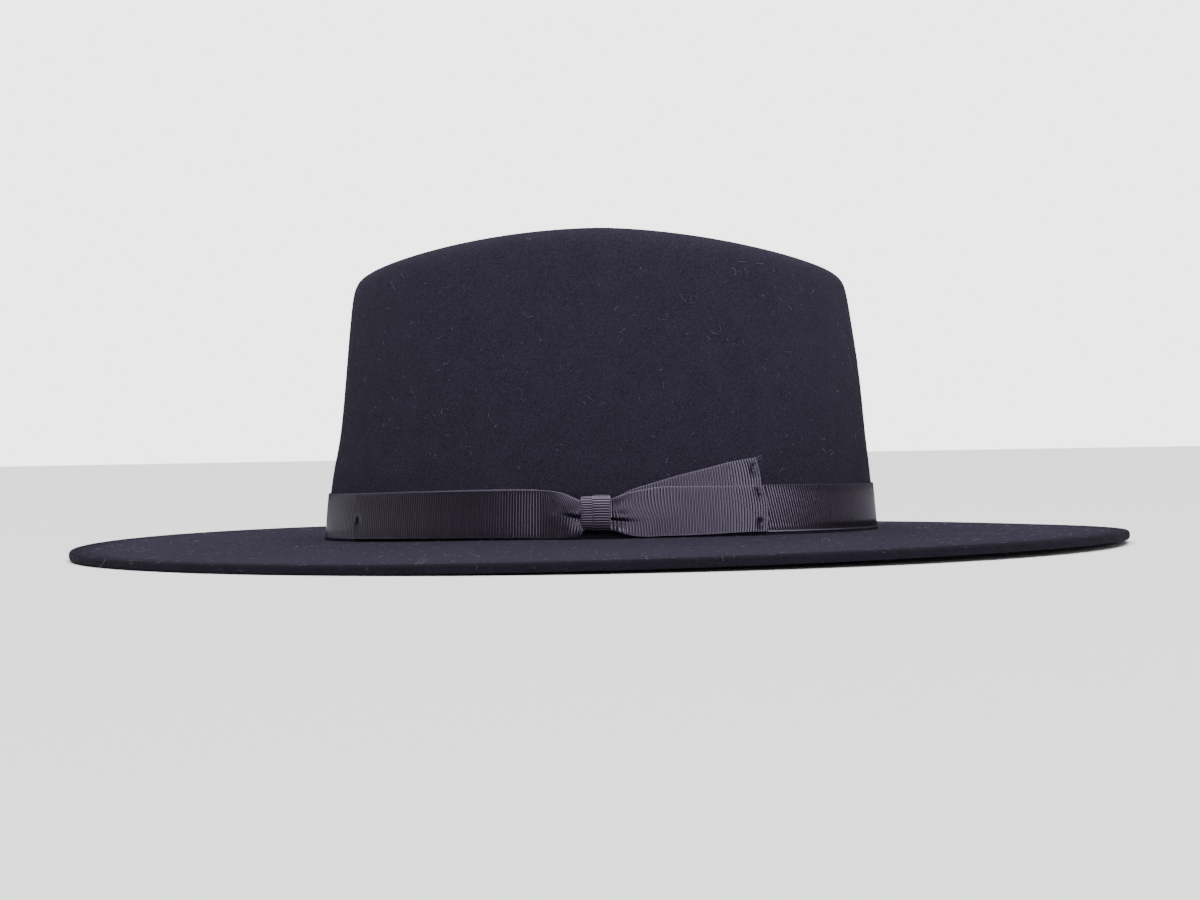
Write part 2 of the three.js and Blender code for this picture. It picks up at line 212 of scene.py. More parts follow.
coarse_fibres = grain_ridge(grain_noise(grain_in["Fibre Size"], 1.0, 0.6))
fine_size = grain_net.math("MULTIPLY", grain_in["Fibre Size"], FINE_SIZE_SHARE)
fine_fibres = grain_ridge(grain_noise(fine_size, 2.0, 0.4))
mat = grain_net.math("MULTIPLY", coarse_fibres, COARSE_WEIGHT)
mat = grain_net.math("MULTIPLY_ADD", fine_fibres, FINE_WEIGHT, mat)
clouds = grain_net.remap(grain_noise(grain_in["Cloud Size"], 3.0), 0.3, 0.7)
grain_net.feed(grain_out.inputs["Fibres"], mat)
grain_net.feed(grain_out.inputs["Clouds"], clouds)
grain_group = grain_net.tree
print("group:", grain_group.name)

# %% [markdown]
# The felt is dyed a navy so dark that it looks black, and it has hardly any gloss. Its colour runs
# from nearly black between the fibres to a dull navy on them, and a trace of sheen stands for the
# light that the shortest nap scatters. The fibres lift the surface by a tenth of a millimetre, which
# a bump shows well enough. The cut edge of the brim is painted darker, as painted shade that cancels
# the light the floor throws up onto it, and an attribute on the mesh says where it is.

# %% Felt material
def new_material(name):
    material = bpy.data.materials.new(name)
    material.use_nodes = True
    net = Net(material.node_tree)
    return material, net, material.node_tree.nodes["Principled BSDF"]


def set_shader(shader, values):
    for socket_name, value in values.items():
        shader.inputs[socket_name].default_value = value


def attribute(net, name):
    return net.add("ShaderNodeAttribute", attribute_name=name).outputs["Fac"]


def blend_colours(net, share, dark, light):
    node = net.add("ShaderNodeMix", data_type="RGBA")
    net.feed(node.inputs[0], share)
    net.feed(node.inputs[6], dark)
    net.feed(node.inputs[7], light)
    return node.outputs[2]


def grain(net, fibre_size, cloud_size):
    node = net.add("ShaderNodeGroup", node_tree=grain_group)
    set_shader(node, {"Fibre Size": fibre_size, "Cloud Size": cloud_size})
    return node.outputs["Fibres"], node.outputs["Clouds"]


FELT_DARK = (0.0035, 0.0028, 0.0060, 1)
FELT_LIGHT = (0.0445, 0.0390, 0.0630, 1)
# painted shade: the brim's cut edge is darkened to cancel the light that the floor throws up onto it
CUT_EDGE_PAINTED_SHADE = (0.45, 0.45, 0.45, 1)
FELT_FIBRE_SIZE = 0.5 * MM
FELT_CLOUD_SIZE = 9 * MM
FELT_FIBRE_WEIGHT = 0.85
FELT_CLOUD_WEIGHT = 0.06
FELT_RELIEF = 0.12 * MM
felt, felt_net, felt_shader = new_material("felt")
felt_fibres, felt_clouds = grain(felt_net, FELT_FIBRE_SIZE, FELT_CLOUD_SIZE)
felt_tone = felt_net.math("MULTIPLY", felt_fibres, FELT_FIBRE_WEIGHT)
felt_tone = felt_net.math("MULTIPLY_ADD", felt_clouds, FELT_CLOUD_WEIGHT, felt_tone)
felt_colour = blend_colours(felt_net, felt_tone, FELT_DARK, FELT_LIGHT)
# painted shade on the cut edge of the brim, where the attribute marks it
felt_cut_painted_shade = felt_net.add("ShaderNodeMix", data_type="RGBA", blend_type="MULTIPLY")
felt_net.feed(felt_cut_painted_shade.inputs[0], attribute(felt_net, "cut"))
felt_net.feed(felt_cut_painted_shade.inputs[6], felt_colour)
felt_net.feed(felt_cut_painted_shade.inputs[7], CUT_EDGE_PAINTED_SHADE)
felt_net.feed(felt_shader.inputs["Base Color"], felt_cut_painted_shade.outputs[2])
felt_bump = felt_net.add(
    "ShaderNodeBump", {"Strength": 0.8, "Distance": FELT_RELIEF, "Height": felt_fibres}
)
felt_net.feed(felt_shader.inputs["Normal"], felt_bump.outputs["Normal"])
set_shader(felt_shader, {
    "Roughness": 0.95,
    "Specular IOR Level": 0.05,
    "Sheen Weight": 0.012,
    "Sheen Roughness": 0.6,
    "Sheen Tint": (0.62, 0.60, 0.75, 1),
})
print("material:", felt.name)

# %% [markdown]
# Grosgrain is woven with a thick filling thread, so ribs run across the ribbon, and fine warp threads
# cover them. The ribs are real geometry further down, and they leave each point with three values:
# ridge, from valley to top, edge, which is one at the woven border, and across, how far it is from
# the ribbon's middle. The material paints shade into the valleys, paints a highlight on the ridges of
# the border and draws the fine warp threads over the ribs. The threads are glossy, so most of the
# ribbon's brightness is mirrored light, and the tint of that light gives its plum.

# %% Ribbon material
RIBBON_DARK = (0.0015, 0.0008, 0.0022, 1)
RIBBON_LIGHT = (0.0100, 0.0062, 0.0135, 1)
# painted highlight: the colour laid on the ridges of the woven border, standing in for the light its
# edge catches
BORDER_PAINTED_HIGHLIGHT = (0.055, 0.044, 0.072, 1)
WARP_PITCH = 0.28 * MM
RIBBON_FIBRE_SIZE = 0.25 * MM
RIBBON_CLOUD_SIZE = 9 * MM
RIDGE_SHARPNESS = 2.5
# painted shade: how much darker the valleys between the ribs are painted than the ridges
VALLEY_PAINTED_SHADE_WEIGHT = 0.8
WARP_WEIGHT = 0.06
FIBRE_WEIGHT = 0.15
CLOUD_WEIGHT = 0.1
BORDER_HIGHLIGHT_WEIGHT = 0.7
VALLEY_ROUGHNESS = 0.34
RIDGE_ROUGHNESS = 0.29
WARP_RELIEF = 0.012 * MM


ribbon, ribbon_net, ribbon_shader = new_material("ribbon")
ribbon_fibres, ribbon_clouds = grain(ribbon_net, RIBBON_FIBRE_SIZE, RIBBON_CLOUD_SIZE)
ridge = attribute(ribbon_net, "ridge")
border = attribute(ribbon_net, "edge")
warp_turn = ribbon_net.math("MULTIPLY", attribute(ribbon_net, "across"), 2 * math.pi / WARP_PITCH)
warp = ribbon_net.math("MULTIPLY_ADD", ribbon_net.math("SINE", warp_turn), 0.5, 0.5)
rib_tone_and_painted_valley_shade = ribbon_net.math("MULTIPLY", warp, WARP_WEIGHT)
# painted shade: the ridge mask darkens the valleys between the ribs, standing in for the shade that
# falls in them
ridge_top = ribbon_net.math("POWER", ridge, RIDGE_SHARPNESS)
rib_tone_and_painted_valley_shade = ribbon_net.math("MULTIPLY_ADD", ridge_top, VALLEY_PAINTED_SHADE_WEIGHT, rib_tone_and_painted_valley_shade)
rib_tone_and_painted_valley_shade = ribbon_net.math("MULTIPLY_ADD", ribbon_fibres, FIBRE_WEIGHT, rib_tone_and_painted_valley_shade)
rib_tone_and_painted_valley_shade = ribbon_net.math("MULTIPLY_ADD", ribbon_clouds, CLOUD_WEIGHT, rib_tone_and_painted_valley_shade)
rib_colour = blend_colours(ribbon_net, rib_tone_and_painted_valley_shade, RIBBON_DARK, RIBBON_LIGHT)
# painted highlight on the ridges of the border, mixed over the rib colour
border_highlight_share = ribbon_net.math("MULTIPLY", ribbon_net.math("MULTIPLY", border, ridge), BORDER_HIGHLIGHT_WEIGHT)
ribbon_colour = blend_colours(ribbon_net, border_highlight_share, rib_colour, BORDER_PAINTED_HIGHLIGHT)
ribbon_net.feed(ribbon_shader.inputs["Base Color"], ribbon_colour)
ribbon_roughness = ribbon_net.remap(ridge, 0.3, 1.0, VALLEY_ROUGHNESS, RIDGE_ROUGHNESS)
ribbon_net.feed(ribbon_shader.inputs["Roughness"], ribbon_roughness)
relief = ribbon_net.math("MULTIPLY_ADD", warp, 0.6, ribbon_fibres)
ribbon_bump = ribbon_net.add(
    "ShaderNodeBump", {"Strength": 0.15, "Distance": WARP_RELIEF, "Height": relief}
)
ribbon_net.feed(ribbon_shader.inputs["Normal"], ribbon_bump.outputs["Normal"])
set_shader(ribbon_shader, {
    "Specular IOR Level": 1.0,
    "Specular Tint": (0.82, 0.70, 1.0, 1),
})
print("material:", ribbon.name)

# %% [markdown]
# The nap has the felt's own dull navy, and the lint that sits on it is lighter. The sewing thread is
# the ribbon's dark colour and less rough. Each colour varies a little along the hairs.

# %% Fibre and thread materials
HAIR_FIBRE_SIZE = 0.5 * MM
HAIR_CLOUD_SIZE = 3 * MM


def fibre_material(name, dark, light, roughness, sheen):
    material, net, shader = new_material(name)
    fibres, _ = grain(net, HAIR_FIBRE_SIZE, HAIR_CLOUD_SIZE)
    colour = blend_colours(net, fibres, (*dark, 1), (*light, 1))
    net.feed(shader.inputs["Base Color"], colour)
    set_shader(shader, {"Roughness": roughness, "Sheen Weight": sheen, "Specular IOR Level": 0.2})
    return material


nap_fibre = fibre_material("nap_fibre", (0.014, 0.012, 0.021), (0.046, 0.041, 0.062), 0.9, 0.05)
lint_fibre = fibre_material("lint_fibre", (0.07, 0.065, 0.09), (0.22, 0.20, 0.26), 0.7, 0.1)
sewing_thread = fibre_material("sewing_thread", (0.002, 0.001, 0.003), (0.010, 0.007, 0.013), 0.6, 0.0)
print("materials:", nap_fibre.name, lint_fibre.name, sewing_thread.name)

# %% [markdown]
# Every piece ends the same way: its modifiers are worked out into one plain mesh, its faces are
# smooth, and it has its material. Doing this in one place keeps the pieces alike.

# %% Helpers for pieces
def new_object(name, mesh):
    made = bpy.data.objects.new(name, mesh)
    bpy.context.collection.objects.link(made)
    return made


def settle(obj, material):
    """Turns the object with its modifiers into one plain mesh with a material."""
    graph = bpy.context.evaluated_depsgraph_get()
    mesh = bpy.data.meshes.new_from_object(obj.evaluated_get(graph), depsgraph=graph)
    obj.modifiers.clear()
    old = obj.data
    obj.data = mesh
    bpy.data.meshes.remove(old)
    mesh.name = obj.name
    mesh.materials.clear()
    mesh.materials.append(material)
    mesh.polygons.foreach_set("material_index", [0] * len(mesh.polygons))
    mesh.polygons.foreach_set("use_smooth", [True] * len(mesh.polygons))
    triangles = sum(len(face.vertices) - 2 for face in mesh.polygons)
    print(obj.name, "has", triangles, "triangles")
    return obj


def use_tree(obj, tree, values):
    """Adds a Geometry Nodes modifier and sets its named inputs."""
    modifier = obj.modifiers.new(tree.name, "NODES")
    modifier.node_group = tree
    for item in tree.interface.items_tree:
        if item.item_type == "SOCKET" and item.in_out == "INPUT" and item.name in values:
            modifier[item.identifier] = values[item.name]


print("piece helpers ready")

# %% [markdown]
# The body of the hat is one sheet of felt. It could be modelled again from its outline, but the frame
# already has the right shape in flat faces, so a copy of it is merged, its triangles are paired into
# quads, and a subdivision rounds it. The cut edge of the brim would melt away in that, so its edges
# get a crease that keeps them square and soft. A subdivision also pulls each corner in a little, so
# the corners are moved out by as much as they came in, and the rounded felt keeps the frame's size.

# %% Felt body
RIM_SHARE = 0.995  # of the brim's half length: from here out a point belongs to the cut edge
RIM_CREASE = 0.55
LONG_EDGE = 4 * MM
WELD = 0.01 * MM


def felt_copy():
    node = frame["nodes"]["felt_body"]
    low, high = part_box("felt_body")
    mesh = bmesh.new()
    mesh.from_mesh(node.data)
    bmesh.ops.remove_doubles(mesh, verts=mesh.verts, dist=WELD)
    bmesh.ops.join_triangles(
        mesh, faces=mesh.faces, angle_face_threshold=math.pi, angle_shape_threshold=math.pi
    )
    crease = mesh.edges.layers.float.new("crease_edge")
    for edge in mesh.edges:
        ends = [math.hypot(v.co.x / high.x, v.co.y / high.y) for v in edge.verts]
        if min(ends) > RIM_SHARE and edge.calc_length() > LONG_EDGE:
            edge[crease] = RIM_CREASE
    three_sided = sum(len(face.verts) == 3 for face in mesh.faces)
    print("felt copy:", len(mesh.faces), "faces, of which", three_sided, "are triangles")
    cut = mesh.verts.layers.float.new("cut")
    for point in mesh.verts:
        point[cut] = float(math.hypot(point.co.x / high.x, point.co.y / high.y) > RIM_SHARE)
    made = bpy.data.meshes.new("crown_and_brim")
    mesh.to_mesh(made)
    mesh.free()
    return made


crown_and_brim = new_object("crown_and_brim", felt_copy())
rounding = crown_and_brim.modifiers.new("rounding", "SUBSURF")
rounding.levels = rounding.render_levels = 2


def hold_size(obj, rounds=5):
    """Moves the corners out until the rounded mesh goes through where they were."""
    corners = obj.data.vertices
    wanted = [v.co.copy() for v in corners]
    for _ in range(rounds):
        rounded = obj.evaluated_get(bpy.context.evaluated_depsgraph_get()).data
        missing = [wanted[k] - rounded.vertices[k].co for k in range(len(wanted))]
        for corner, offset in zip(corners, missing):
            corner.co += offset
        obj.data.update()
        print("corners off by", round(max(offset.length for offset in missing) / MM, 2), "mm")


hold_size(crown_and_brim)
settle(crown_and_brim, felt)

# %% [markdown]
# The ribbon lies on the felt, so its place is measured on the felt. A ray towards the crown finds
# the wall at any height, and a ray down finds the top of the brim. The oval of the crown's foot gives
# the direction, and a table of its length turns a distance along the band into an angle.

# %% Measuring on the felt
OVAL_STEPS = 2880
RAY_START = 30 * MM
felt_tree = BVHTree.FromPolygons(
    [v.co for v in crown_and_brim.data.vertices],
    [list(face.vertices) for face in crown_and_brim.data.polygons],
)


def oval(angle, grown=0.0):
    """A point of the crown's foot from above, and the direction straight out of it."""
    out = Vector((math.cos(angle) / HALF_LENGTH, math.sin(angle) / HALF_WIDTH, 0)).normalized()
    foot = Vector((CROWN_SET_BACK + HALF_LENGTH * math.cos(angle), HALF_WIDTH * math.sin(angle), 0))
    return foot + grown * out, out


def beside_wall(angle, height, stand_off):
    start, out = oval(angle, RAY_START)
    hit = felt_tree.ray_cast(Vector((start.x, start.y, height)), -out)[0]
    return hit + stand_off * out


def brim_top(angle):
    start, _ = oval(angle, BREAK_RADIUS)
    return felt_tree.ray_cast(Vector((start.x, start.y, RAY_START)), Vector((0, 0, -1)))[0].z


oval_angles = [2 * math.pi * k / OVAL_STEPS - math.pi / 2 for k in range(OVAL_STEPS + 1)]
oval_lengths = [0.0]
for before, after in zip(oval_angles, oval_angles[1:]):
    oval_lengths.append(oval_lengths[-1] + (oval(after)[0] - oval(before)[0]).length)
BAND_LENGTH = oval_lengths[-1]
print("round the crown:", round(BAND_LENGTH / MM), "mm")


def angle_at(distance):
    """The angle at a distance along the band from the middle of the hat's left side."""
    place = distance % BAND_LENGTH
    k = min(bisect.bisect_right(oval_lengths, place), OVAL_STEPS) - 1
    share = (place - oval_lengths[k]) / (oval_lengths[k + 1] - oval_lengths[k])
    return oval_angles[k] + share * (oval_angles[k + 1] - oval_angles[k])


BAND_MIDDLES = 360
middle_heights = [
    brim_top(angle_at(BAND_LENGTH * k / BAND_MIDDLES)) + BAND_ABOVE_BRIM + RIBBON_WIDTH / 2
    for k in range(BAND_MIDDLES)
]


def band_middle(distance):
    """The height of the band's middle line."""
    place = distance % BAND_LENGTH / BAND_LENGTH * BAND_MIDDLES
    k = int(place)
    first, second = middle_heights[k % BAND_MIDDLES], middle_heights[(k + 1) % BAND_MIDDLES]
    return first + (place - k) * (second - first)


STRAIGHT_FROM = 4 * MM  # below the band's middle line


def beside_band(distance, height, stand_off, straight=0.0):
    """A point at a distance from the bow's middle and a height above the band's middle line.

    The crown's foot curves out into the brim. With straight at 1 the cloth hangs straight past it.
    """
    along = distance - BOW_AHEAD
    angle, middle = angle_at(along), band_middle(along)
    point = beside_wall(angle, middle + height, stand_off)
    below = -height / STRAIGHT_FROM - 1
    if straight <= 0 or below <= 0:
        return point
    low = beside_wall(angle, middle - STRAIGHT_FROM, stand_off)
    hung = low + (low - beside_wall(angle, middle, stand_off)) * below
    return point.lerp(hung, straight)


lowest, highest = (round(height / MM, 1) for height in (min(middle_heights), max(middle_heights)))
print("band's middle:", lowest, "to", highest, "mm")

# %% [markdown]
# All the ribbon is the same cloth, so one Geometry Nodes tree weaves it. Each piece arrives as a thin
# sheet whose points know which rib they belong to and how far across the ribbon they are. The tree
# raises the points along their normals into ribs, lets the ribs die out on the two flat woven
# borders, and leaves behind the values that the material reads.

# %% Rib tree
RIB_ROUNDNESS = 0.95  # at 1 a rib is half a sine wave, and below it the top is fuller
BORDER_LIFT = 0.15  # of a rib's height, at the very edge
rib_net, rib_in, rib_out = new_tree(
    "Grosgrain ribs",
    "GeometryNodeTree",
    {
        "Geometry": GEOMETRY,
        "Rib Height": number(RIB_HEIGHT),
        "Ribbon Width": number(RIBBON_WIDTH),
        "Border Width": number(BORDER_WIDTH),
        "Material": MATERIAL,
    },
    {"Geometry": "NodeSocketGeometry"},
)


def rib_attribute(name):
    node = rib_net.add("GeometryNodeInputNamedAttribute", {"Name": name}, data_type="FLOAT")
    return node.outputs["Attribute"]


rib_turn = rib_net.math("MULTIPLY", rib_attribute("rib"), math.pi)
rib_wave = rib_net.math("ABSOLUTE", rib_net.math("SINE", rib_turn))
rib_ridge = rib_net.math("POWER", rib_wave, RIB_ROUNDNESS)
from_edge = rib_net.math(
    "SUBTRACT",
    rib_net.math("MULTIPLY", rib_in["Ribbon Width"], 0.5),
    rib_net.math("ABSOLUTE", rib_attribute("across")),
)
on_border = rib_net.remap(from_edge, 0.0, rib_in["Border Width"], 1.0, 0.0)
lift_share = rib_net.remap(from_edge, 0.0, rib_in["Border Width"], BORDER_LIFT, 1.0)
lift = rib_net.math("MULTIPLY", rib_net.math("SUBTRACT", rib_ridge, 0.5), rib_in["Rib Height"])
lift = rib_net.math("MULTIPLY", lift, lift_share)
rib_normal = rib_net.add("GeometryNodeInputNormal").outputs["Normal"]
rib_offset = rib_net.vector("SCALE", rib_normal, lift)


def rib_store(geometry, name, value):
    inputs = {"Geometry": geometry, "Name": name, "Value": value}
    return rib_net.add("GeometryNodeStoreNamedAttribute", inputs, data_type="FLOAT").outputs[0]


woven = rib_store(rib_store(rib_in["Geometry"], "ridge", rib_ridge), "edge", on_border)
woven = rib_net.add("GeometryNodeSetPosition", {"Geometry": woven, "Offset": rib_offset}).outputs[0]
woven = rib_net.add("GeometryNodeRealizeInstances", {"Geometry": woven}).outputs[0]
woven = rib_net.add("GeometryNodeSetMaterial", {"Geometry": woven, "Material": rib_in["Material"]})
rib_net.feed(rib_out.inputs["Geometry"], woven.outputs[0])
print("tree:", rib_net.tree.name, "with", len(rib_net.tree.nodes), "nodes")

# %% [markdown]
# A sheet is given as columns of points, one column for each step along the ribbon, with six steps to
# a rib. Because a column follows its rib, a rib may lean or bend and still be sharp. Solidify gives
# the sheet its two faces and closed edges before the ribs are raised.

# %% Sheets of ribbon
RIB_STEPS = 6
ACROSS = (  # from the lower edge to the upper one, closer together at the borders and at the creases
    -1, -0.988, -0.93, -0.8, -0.62, -0.5, -0.42, -0.35, -0.28, -0.2,
    -0.1, 0, 0.1, 0.2, 0.4, 0.6, 0.8, 0.93, 0.988, 1,
)
ACROSS_BAND = (-1, -0.988, -0.93, -0.6, -0.2, 0.2, 0.6, 0.93, 0.988, 1)


def ribbon_sheet(name, runs, shares=ACROSS, width=RIBBON_WIDTH):
    """A piece of ribbon from runs of columns. A run is a list of columns, and whether it closes."""
    points, faces, rib_values, across_values = [], [], [], []
    for columns, closed in runs:
        first, rows = len(points), len(columns[0])
        for k, column in enumerate(columns):
            points.extend(column)
            rib_values.extend([k / RIB_STEPS] * rows)
            across_values.extend(share * width / 2 for share in shares)
        for k in range(len(columns) if closed else len(columns) - 1):
            here, there = first + k * rows, first + (k + 1) % len(columns) * rows
            for row in range(rows - 1):
                faces.append((here + row, there + row, there + row + 1, here + row + 1))
    mesh = bpy.data.meshes.new(name)
    mesh.from_pydata(points, [], faces)
    for label, values in (("rib", rib_values), ("across", across_values)):
        mesh.attributes.new(label, "FLOAT", "POINT").data.foreach_set("value", values)
    piece = new_object(name, mesh)
    body = piece.modifiers.new("thickness", "SOLIDIFY")
    body.thickness = SHEET
    body.offset = 0
    use_tree(piece, rib_net.tree, {"Rib Height": RIB_HEIGHT, "Ribbon Width": width, "Material": ribbon})
    return settle(piece, ribbon)


print("sheets are", len(ACROSS), "points across")

# %% [markdown]
# The band is one length of ribbon pulled tight round the crown, with its ends hidden under the bow.
# The knot draws it in together with the bow, so felt shows above the knot. Towards the back of the
# hat its ribs lean, as they do where a ribbon is pulled harder along its lower edge.

# %% Band
BAND_LEAN = math.tan(math.radians(11))
BAND_PINCH = (  # distance from the knot's middle in millimetres, share of the width, drop
    (0, 0.56, 0.04),
    (5.3, 0.56, 0.04),
    (7.5, 0.66, 0.05),
    (10.5, 0.8, 0.05),
    (15, 0.92, 0.03),
    (22, 0.98, 0.01),
    (32, 1, 0),
)
LEAN_FROM, LEAN_FULL, LEAN_LESS, LEAN_TO = 30 * MM, 60 * MM, 150 * MM, 230 * MM


def smooth(low, high, value):
    share = min(1.0, max(0.0, (value - low) / (high - low)))
    return share * share * (3 - 2 * share)


def band_lean(distance):
    rising = smooth(LEAN_FROM, LEAN_FULL, distance)
    return BAND_LEAN * rising * (1 - smooth(LEAN_LESS, LEAN_TO, distance))


def pinch_at(away):
    """The band's share of the full width and its drop, a distance away from the knot's middle."""
    if away >= BAND_PINCH[-1][0]:
        return BAND_PINCH[-1][1:]
    k = bisect.bisect_right([row[0] for row in BAND_PINCH], away)
    low, high = BAND_PINCH[k - 1], BAND_PINCH[k]
    share = smooth(low[0], high[0], away)
    return [a + share * (b - a) for a, b in zip(low[1:], high[1:])]


def band_columns():
    steps = round(BAND_LENGTH / BAND_RIB_PITCH) * RIB_STEPS
    columns = []
    for k in range(steps):
        distance = BAND_LENGTH * k / steps
        lean = band_lean(distance)
        from_knot = abs((distance + BOW_AHEAD + BAND_LENGTH / 2) % BAND_LENGTH - BAND_LENGTH / 2)
        width, drop = pinch_at(from_knot / MM)
        column = []
        for share in ACROSS_BAND:
            height = (share * width / 2 - drop) * RIBBON_WIDTH
            place = distance - lean * height
            angle = angle_at(place)
            point = beside_wall(angle, band_middle(place) + height, CLEARANCE + RIBBON_THICKNESS / 2)
            column.append(point)
        columns.append(column)
    return columns


ribbon_band = ribbon_sheet("ribbon_band", [(band_columns(), True)], shares=ACROSS_BAND)

# %% [markdown]
# Each loop of the bow is a ribbon that leaves the knot, turns back at its fold and returns behind
# itself. Near the knot it is drawn together, so it is narrower there and stands up in two puffs with
# a crease between them. Short tables give those shapes, and a smooth curve goes through their rows.
# A row says how far along the strip it is, as a share of the strip's length. Width and drop are
# shares of the ribbon's width, puff is a share of the highest puff, and lean is a slope of the ribs.

# %% Tables for the bow
COLUMNS = ("along", "width", "drop", "puff", "lean")
LEFT_LOOP_ROWS = (
    (0.0, 0.62, 0.04, 0.0, 0),
    (0.044, 0.64, 0.07, 0.3, 0),
    (0.057, 0.73, 0.12, 0.8, 0),
    (0.085, 0.84, 0.105, 0.8, 0),
    (0.115, 0.93, 0.072, 0.4, 0),
    (0.16, 0.98, 0.047, 0.12, 0),
    (0.22, 1.0, 0.03, 0.02, 0),
    (0.3, 1.0, 0.02, 0.0, 0),
    (0.44, 0.99, 0.01, 0.0, 0),
    (1.0, 0.99, 0.0, 0.0, 0),
)
RIGHT_LOOP_ROWS = (
    (0.0, 0.62, 0.04, 0.0, 0),
    (0.085, 0.66, 0.06, 0.6, 0),
    (0.12, 0.74, 0.06, 0.9, 0),
    (0.18, 0.87, 0.06, 0.34, 0),
    (0.26, 0.97, 0.05, 0.1, 0),
    (0.36, 1.02, 0.02, 0.03, 0),
    (0.5, 1.02, 0.015, 0.0, 0),
    (0.66, 1.0, 0.01, 0.0, 0),
    (0.82, 0.98, 0.0, 0.0, 0),
    (1.0, 0.97, 0.0, 0.0, 0),
)
TAIL_ROWS = (
    (0.0, 0.62, 0.04, 0.0, 0),
    (0.09, 0.62, 0.04, 0.0, 0),
    (0.13, 0.7, 0.03, 0.0, 0),
    (0.2, 0.86, 0.0, 0.0, 0.04),
    (0.32, 1.0, -0.05, 0.0, 0.08),
    (0.48, 1.03, -0.19, 0.0, 0.09),
    (0.66, 1.03, -0.34, 0.0, 0.07),
    (0.83, 1.03, -0.48, 0.0, 0.04),
    (1.0, 1.0, -0.585, 0.0, 0.0),
)


def row_at(rows, along):
    """The row at a share of the length, on a smooth curve through the table's rows."""
    k = max(1, min(len(rows) - 1, bisect.bisect_left([row[0] for row in rows], along)))
    low, high = rows[k - 1], rows[k]
    before, after = rows[max(0, k - 2)], rows[min(len(rows) - 1, k + 1)]
    span = high[0] - low[0]
    t = (along - low[0]) / span
    values = {}
    for column, name in enumerate(COLUMNS):
        slope_low = (high[column] - before[column]) / (high[0] - before[0])
        slope_high = (after[column] - low[column]) / (after[0] - low[0])
        values[name] = (
            (2 * t**3 - 3 * t**2 + 1) * low[column]
            + (t**3 - 2 * t**2 + t) * span * slope_low
            + (3 * t**2 - 2 * t**3) * high[column]
            + (t**3 - t**2) * span * slope_high
        )
    return values


print("rows:", len(LEFT_LOOP_ROWS), len(RIGHT_LOOP_ROWS), len(TAIL_ROWS))

# %% [markdown]
# One function makes every strip of the bow. It walks along the ribbon one rib step at a time, and
# asks the table how wide the strip is there and the path how far off the band it lies. The gathers
# are a function of the place across the ribbon: a crease that is sharp on its upper side, and a round
# puff on each side of it. Where a stitch holds the cloth down, a dimple pulls it in.

# %% Strips of the bow
PUFF_HEIGHT = 1.2 * MM
NECK_START = 0.2 * MM  # where a strip begins, under the knot
NECK_EASE = 2.5  # the strip has come down to its seat at this many times the length of the neck
CREASE_ABOVE = 0.1  # how wide the crease is on its upper and lower side, of half the ribbon's width
CREASE_BELOW = 0.42
PUFF_MIDDLE = 0.45  # of half the ribbon's width
PUFF_TURN = 1.9  # radians for each half width


def gathers(across, crease_at):
    """Height of the gathered cloth, from 0 in the crease to 1 on a puff."""
    width = CREASE_ABOVE if across > crease_at else CREASE_BELOW
    crease = 1 - math.exp(-(((across - crease_at) / width) ** 2))
    return crease * math.cos(PUFF_TURN * (abs(across) - PUFF_MIDDLE))


DIMPLE_DEPTH = 0.7 * MM
DIMPLE_RADIUS = 1.4 * MM


def dimple(shape, distance, height):
    """How far the stitches nearby pull the cloth in."""
    pulls = [math.hypot(distance - d * MM, height - h * MM) / DIMPLE_RADIUS for d, h in shape["tacks"]]
    return DIMPLE_DEPTH * sum(math.exp(-pull * pull) for pull in pulls)


def strip_column(shape, direction, distance, side, rib_bend):
    """One column of points. side is 1 for a front layer and -1 for a layer behind it."""
    column = []
    for across in ACROSS:
        place = distance + rib_bend(distance, across)
        row = row_at(shape["rows"], min(1.0, place / shape["length"]))
        down = smooth(shape["ease_from"], NECK_EASE * shape["ease_from"], place)
        base = shape["neck_seat"] + (shape["seat"] - shape["neck_seat"]) * down
        thick = shape["neck_thickness"] + (shape["thickness"] - shape["neck_thickness"]) * down
        middle = base + thick / 2 + side * (thick - RIBBON_THICKNESS) / 2
        from_middle = across * row["width"] * RIBBON_WIDTH / 2
        height = from_middle - row["drop"] * RIBBON_WIDTH
        puff = max(0.0, side) * row["puff"] * PUFF_HEIGHT * gathers(across, shape["crease"])
        puff -= dimple(shape, place, height) if side >= 0 else 0
        place -= row["lean"] * from_middle
        column.append(beside_band(direction * place, height, BAND_FACE + middle + puff, max(0.0, side)))
    return column


def strip_steps(shape):
    """Distance from the knot and side for each step of a strip that may turn back at a fold."""
    step = RIB_PITCH / RIB_STEPS
    radius = (shape["thickness"] - RIBBON_THICKNESS) / 2
    if not shape["folded"]:
        count = int((shape["length"] - NECK_START) / step)
        return [(NECK_START + k * step, 0.0) for k in range(count + 1)]
    run = shape["length"] - radius - NECK_START
    turn = math.pi * radius
    steps = []
    for k in range(int((2 * run + turn) / step) + 1):
        along = k * step
        if along < run:
            steps.append((NECK_START + along, 1.0))
        elif along < run + turn:
            swing = (along - run) / radius
            steps.append((shape["length"] - radius + radius * math.sin(swing), math.cos(swing)))
        else:
            steps.append((max(NECK_START, 2 * run + turn - along + NECK_START), -1.0))
    return steps


def bow_strip(name, direction, shape, rib_bend):
    columns = [
        strip_column(shape, direction, distance, side, rib_bend)
        for distance, side in strip_steps(shape)
    ]
    if direction > 0:
        return ribbon_sheet(name, [(columns, False)])
    return ribbon_sheet(name, [([column[::-1] for column in columns], False)])


print("strip helpers ready")

# %% [markdown]
# The left loop lies flat, with straight ribs that crowd and lean only beside the knot. They lean
# most near the upper edge, which is drawn in furthest.

